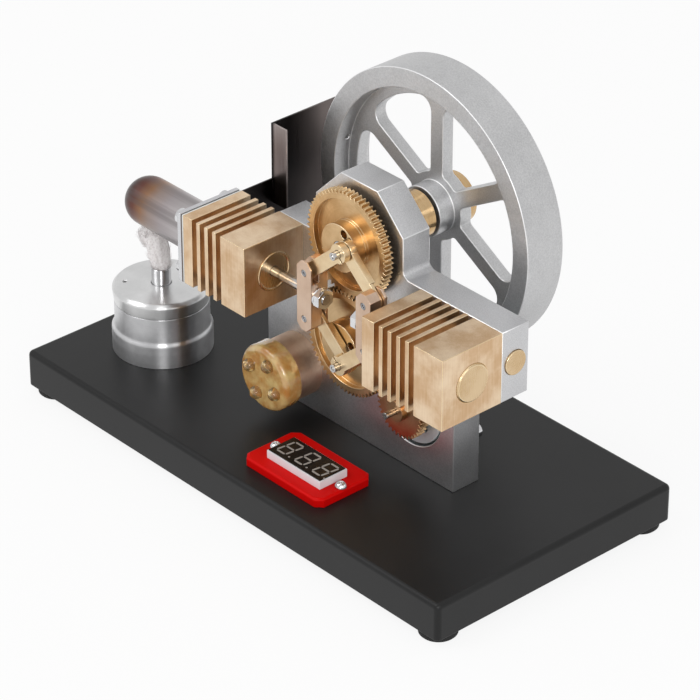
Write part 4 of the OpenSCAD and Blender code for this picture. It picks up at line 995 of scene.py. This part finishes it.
@dataclass
class Frame(SubAssembly):
    """Upright aluminium plate with its bearings, block screws and passage plug."""

    plate_edge: EdgeBreak = EdgeBreak(0.20 * MM, segments=1, triangles=True)

    def build(self) -> None:
        """Dresses the plate and what is fixed in it."""
        self.plate_edge.piece("frame_plate", BLASTED_ALUMINIUM, LIT_RUBBED_EDGE)
        self.fine.piece("back_screws", SCREW_STEEL)
        self.fine.piece("passage_plug", PLUG_BRASS, LIT_BRASS_EDGE)
        self.fine.piece("bearing_housing", SHAFT_BRASS)
        self.small.piece("ball_bearings", GROUND_STEEL)


@dataclass
class Cylinders(SubAssembly):
    """The two finned brass blocks with their bush, liner and plug."""

    def build(self) -> None:
        """Dresses both blocks and what is fixed in them."""
        for node in ("displacer_block", "power_block"):
            self.fine.piece(node, MILLED_BRASS, LIT_BRASS_EDGE)
        for node in ("gland_bush", "cylinder_plug"):
            self.fine.piece(node, PLUG_BRASS, LIT_BRASS_EDGE)
        self.small.piece("cylinder_liner", GROUND_STEEL)


@dataclass
class HotEnd(SubAssembly):
    """The heated cap with its flange, gasket, screws and heat shield."""

    def build(self) -> None:
        """Dresses the hot end."""
        self.small.piece("hot_cap", HOT_STEEL)
        self.fine.piece("cap_flange", FLANGE_STEEL)
        self.small.piece("flange_gasket", GASKET_WHITE)
        self.fine.piece("button_screws", BRIGHT_NICKEL)
        self.small.piece("heat_shield", SHIELD_STEEL)


@dataclass
class Drive(SubAssembly):
    """Gears, cranks, connecting rods, yokes, displacer and piston."""

    def build(self) -> None:
        """Dresses the drive."""
        brasses = {"upper": UPPER_GEAR_BRASS, "lower": LOWER_GEAR_BRASS}
        for level, brass in brasses.items():
            self.small.piece(f"{level}_gear", brass, LIT_BRASS_EDGE)
        for level, brass in brasses.items():
            self.fine.piece(f"{level}_crank_disc", brass, LIT_BRASS_EDGE)
        for side in ("displacer", "piston"):
            self.train(side)
        for node in ("upper_crank_pin", "lower_crank_pin", "main_shaft", "lower_shaft"):
            self.small.piece(node, GROUND_STEEL)
        self.fine.piece("lower_collar", SHAFT_BRASS)
        self.small.piece("displacer", GROUND_STEEL)
        self.small.piece("piston", GRAPHITE)

    def train(self, side: str) -> None:
        """Dresses the yoke of one rod, with its nut, pivots and connecting rods.

        Args:
            side: The side's name, displacer or piston.
        """
        self.fine.piece(f"{side}_yoke", YOKE_BRONZE)
        self.small.piece(f"{side}_nut", BRIGHT_NICKEL)
        self.small.piece(f"{side}_pivots", SCREW_STEEL)
        self.small.piece(f"{side}_rod", GROUND_STEEL)
        for level in ("upper", "lower"):
            self.fine.piece(f"{side}_{level}_rod", ROD_BRASS, LIT_BRASS_EDGE)


@dataclass
class Flywheel(SubAssembly):
    """Spoked flywheel with its brass collar."""

    wheel_edge: EdgeBreak = EdgeBreak(0.22 * MM, segments=2)

    def build(self) -> None:
        """Dresses the flywheel."""
        self.wheel_edge.piece("flywheel", FLYWHEEL_RIM, LIT_RUBBED_EDGE)
        self.fine.piece("flywheel_collar", SHAFT_BRASS)


@dataclass
class Generator(SubAssembly):
    """Generator in the frame plate, with its shaft and small gear."""

    def build(self) -> None:
        """Dresses the generator."""
        self.fine.piece("generator_can", PLATED_CAN)
        self.fine.piece("generator_flange", PLATED_CAN)
        self.small.piece("generator_shaft", GROUND_STEEL)
        self.small.piece("generator_gear", SMALL_GEAR_BRASS)
        self.small.piece("generator_armature", COPPER_WIRE)


@dataclass
class Lamp(SubAssembly):
    """Lamp head with its amber lens and diodes."""

    def build(self) -> None:
        """Dresses the lamp head."""
        self.fine.piece("lamp_body", LAMP_METAL)
        self.small.piece("lamp_lens", AMBER_LENS)
        self.small.piece("lamp_leds", LAMP_DIODE)


@dataclass
class Display(SubAssembly):
    """Voltmeter on its red plate."""

    figure_edge: EdgeBreak = EdgeBreak(0.02 * MM, segments=1)

    def build(self) -> None:
        """Dresses the voltmeter."""
        self.fine.piece("display_plate", RED_ANODISED)
        self.fine.piece("display_body", METER_WHITE)
        self.small.piece("display_face", METER_WINDOW)
        self.figure_edge.piece("display_segments", FIGURE_WHITE)
        self.small.piece("display_screws", BRIGHT_NICKEL)


@dataclass
class Burner(SubAssembly):
    """Spirit burner with its lid, wick tube and cotton wick.

    Attributes:
        lid_edge: The rounded rim of the lid.
        seed: The start of the wick's random numbers.
        wick_merge: How close the points of the wick's core are to be made one.
        least_face: The area of the smallest face of the core that fibres grow from.
        lumps_per_metre: How many lumps there are to a metre of the core.
        lump_height: The height of the lumps.
        lump_sink: How much of the noise lies below the core's plain surface.
        fibres: How many loose fibres there are.
        fibre_radius: The radius of a fibre at its root.
        fibre_taper: How much thinner its end is.
        fibre_steps: How many straight lengths it has.
        fibre_arch: How much of the arch of a half turn it follows.
        corner_turns: The angles of the corners around it, in radians.
        climb: The least and most that it heads up.
        sway: The least and most that it heads sideways.
        curl: The least and most that it bends sideways.
        rise_mm: The least and most that it stands off, in millimetres.
        length_mm: Its least and greatest length, in millimetres.
        least_side: How level a face's normal has to be to have a side of its own.
    """

    lid_edge: EdgeBreak = EdgeBreak(0.35 * MM, segments=3)
    seed: int = 7
    wick_merge: float = 6e-6
    least_face: float = 1e-9
    lumps_per_metre: float = 1500.0
    lump_height: float = 0.55 * MM
    lump_sink: float = 0.25
    fibres: int = 900
    fibre_radius: float = 0.06 * MM
    fibre_taper: float = 0.5
    fibre_steps: int = 4
    fibre_arch: float = 0.8
    corner_turns: tuple[float, ...] = (0.0, 2.094, 4.189)
    climb: Span = (0.2, 1.0)
    sway: Span = (-0.9, 0.9)
    curl: Span = (-0.5, 0.5)
    rise_mm: Span = (0.10, 0.45)
    length_mm: Span = (0.8, 2.2)
    least_side: float = 0.2

    def build(self) -> None:
        """Dresses the burner and builds its wick."""
        self.fine.piece("burner_body", BURNER_SIDE)
        self.lid_edge.piece("burner_lid", BURNER_LID)
        self.small.piece("wick_tube", BRIGHT_NICKEL)
        self.wick()

    def wick(self) -> None:
        """Builds the wick: a core with an uneven surface, covered with short loose fibres."""
        core = frame["nodes"]["wick"].data.copy()
        shape = bmesh.new()
        shape.from_mesh(core)
        bmesh.ops.remove_doubles(shape, verts=shape.verts, dist=self.wick_merge)
        shape.normal_update()
        for vertex in shape.verts:
            lump = noise.noise(vertex.co * self.lumps_per_metre) - self.lump_sink
            vertex.co += vertex.normal * (lump * self.lump_height)
        chance = random.Random(self.seed)
        roots = [(face.calc_center_median(), face.normal.copy())
                 for face in shape.faces if face.calc_area() > self.least_face]
        for _ in range(self.fibres):
            root, normal = chance.choice(roots)
            self.fibre(shape, root, normal, chance)
        shape.to_mesh(core)
        shape.free()
        core.materials.clear()
        core.materials.append(WICK_COTTON.material())
        smooth(core)
        stand_for(put_in_scene("wick_fibres", core), "wick")

    def fibre(self, shape: bmesh.types.BMesh, root: Vector, normal: Vector,
              chance: random.Random) -> None:
        """Adds one loose fibre, a thin tube that curls away from the wick.

        Args:
            shape: The wick's shape, which gets the fibre.
            root: Where the fibre starts.
            normal: The way out of the wick there.
            chance: The source of random numbers.
        """
        side = normal.cross(Vector((0.0, 0.0, 1.0)))
        side = side.normalized() if side.length > self.least_side else Vector((1.0, 0.0, 0.0))
        up = side.cross(normal)
        heading = up * chance.uniform(*self.climb) + side * chance.uniform(*self.sway)
        heading = heading.normalized()
        curl = side * chance.uniform(*self.curl)
        rise = chance.uniform(*self.rise_mm) * MM
        length = chance.uniform(*self.length_mm) * MM
        rings = []
        for step in range(self.fibre_steps + 1):
            share = step / self.fibre_steps
            middle = root + heading * length * share + curl * length * share * share
            middle += normal * rise * math.sin(math.pi * share * self.fibre_arch)
            thick = self.fibre_radius * (1.0 - self.fibre_taper * share)
            rings.append([
                shape.verts.new(middle + (side * math.cos(turn) + normal * math.sin(turn)) * thick)
                for turn in self.corner_turns])
        sides = len(self.corner_turns)
        for low, high in zip(rings, rings[1:]):
            for i in range(sides):
                j = (i + 1) % sides
                shape.faces.new((low[i], low[j], high[j], high[i]))


# Studio

@dataclass(frozen=True)
class SoftLamp:
    """A square area lamp that points at the engine.

    Attributes:
        name: Its name.
        place: Where it stands.
        size: The side of its square, in metres.
        power: Its power in watts.
        aim: The point that it lights.
    """

    name: str
    place: Point
    size: float
    power: float
    aim: Point = (0.0, 0.0, 0.05)

    def build(self) -> None:
        """Adds the lamp to the scene."""
        data = bpy.data.lights.new(self.name, "AREA")
        data.size = self.size
        data.energy = self.power
        lamp = put_in_scene(self.name, data)
        lamp.location = self.place
        heading = Vector(self.aim) - Vector(self.place)
        lamp.rotation_euler = heading.to_track_quat("-Z", "Y").to_euler()


@dataclass
class Studio:
    """Pale floor, soft lamps, white surroundings and the camera.

    Attributes:
        camera_place: Where the camera stands.
        camera_dip: How far it looks down, in degrees.
        camera_turn: Its turn around Z, in degrees.
        lens: Its focal length, in millimetres.
        sensor: The width of its sensor, in millimetres.
        sight: How far it sees, in metres.
        floor_half: Half the side of the floor, in metres.
        floor_colour: The floor's colour.
        floor_glow: How much of the white that is seen of the floor is its own.
        ambient: The strength of the surroundings as a lamp.
        mirrored: Their strength in reflections.
        lamps: The soft lamps.
    """

    camera_place: Point = (0.68868, -0.61472, 0.59228)
    camera_dip: float = 31.063
    camera_turn: float = 48.069
    lens: float = 192.67
    sensor: float = 36.0
    sight: float = 50.0
    floor_half: float = 4.0
    floor_colour: Colour = (0.88, 0.88, 0.88)
    floor_glow: float = 0.88
    ambient: float = 0.62
    mirrored: float = 0.80
    lamps: tuple[SoftLamp, ...] = (
        SoftLamp("key", (-0.6, -1.1, 1.5), size=0.9, power=7.8),
        SoftLamp("right", (1.5, -0.1, 0.9), size=0.8, power=2.6),
        SoftLamp("near", (1.10, -1.00, 0.70), size=0.42, power=6.5),
        SoftLamp("top", (0.0, 0.3, 1.6), size=1.0, power=0.8))

    def build(self) -> None:
        """Builds the studio."""
        self.camera()
        self.floor()
        self.surroundings()
        for lamp in self.lamps:
            lamp.build()
        bpy.context.scene.view_settings.view_transform = "Standard"

    def camera(self) -> None:
        """Adds the camera at the photograph's angle."""
        data = bpy.data.cameras.new("camera")
        data.lens = self.lens
        data.sensor_width = self.sensor
        data.clip_end = self.sight
        camera = put_in_scene("camera", data)
        camera.location = self.camera_place
        camera.rotation_euler = (
            math.radians(90.0 - self.camera_dip), 0.0, math.radians(self.camera_turn))
        bpy.context.scene.camera = camera

    def floor(self) -> None:
        """Adds the pale floor, which keeps the engine's shadow."""
        material = bpy.data.materials.new("pale_floor")
        bench = Bench(material, "ShaderNodeOutputMaterial")
        seen = bench.rays("Camera") + bench.rays("Glossy") + bench.rays("Transmission")
        share = seen.at_most(1.0) * self.floor_glow
        matt = bench.add("ShaderNodeBsdfDiffuse", {}, {"Color": (*self.floor_colour, 1.0)})
        glow = bench.add("ShaderNodeEmission", {}, {"Color": WHITE, "Strength": 1.0})
        bench.show(bench.add("ShaderNodeMixShader", {}, {0: share, 1: matt, 2: glow}))
        half = self.floor_half
        corners = [(-half, -half, 0.0), (half, -half, 0.0), (half, half, 0.0), (-half, half, 0.0)]
        mesh = bpy.data.meshes.new("floor")
        mesh.from_pydata(corners, [], [(0, 1, 2, 3)])
        mesh.materials.append(material)
        floor = put_in_scene("floor", mesh)

    def surroundings(self) -> None:
        """Sets the white surroundings and the even light that they give."""
        world = bpy.data.worlds.new("surroundings")
        bpy.context.scene.world = world
        bench = Bench(world, "ShaderNodeOutputWorld")
        seen = (bench.rays("Camera") + bench.rays("Transmission")).at_most(1.0)
        strength = (self.ambient + seen * (1.0 - self.ambient)
                    + bench.rays("Glossy") * (self.mirrored - self.ambient))
        bench.show(bench.add("ShaderNodeBackground", {}, {"Color": WHITE, "Strength": strength}))


def main() -> None:
    """Builds the studio and every sub-assembly."""
    logging.basicConfig(level=logging.INFO, format="%(message)s")
    groups: list[SubAssembly] = [
        Base(), Frame(), Cylinders(), HotEnd(), Drive(), Flywheel(), Generator(), Lamp(),
        Display(), Burner()]
    Studio().build()
    for group in groups:
        group.build()
        LOG.info("%s built", type(group).__name__)


if __name__ == "__main__":
    main()
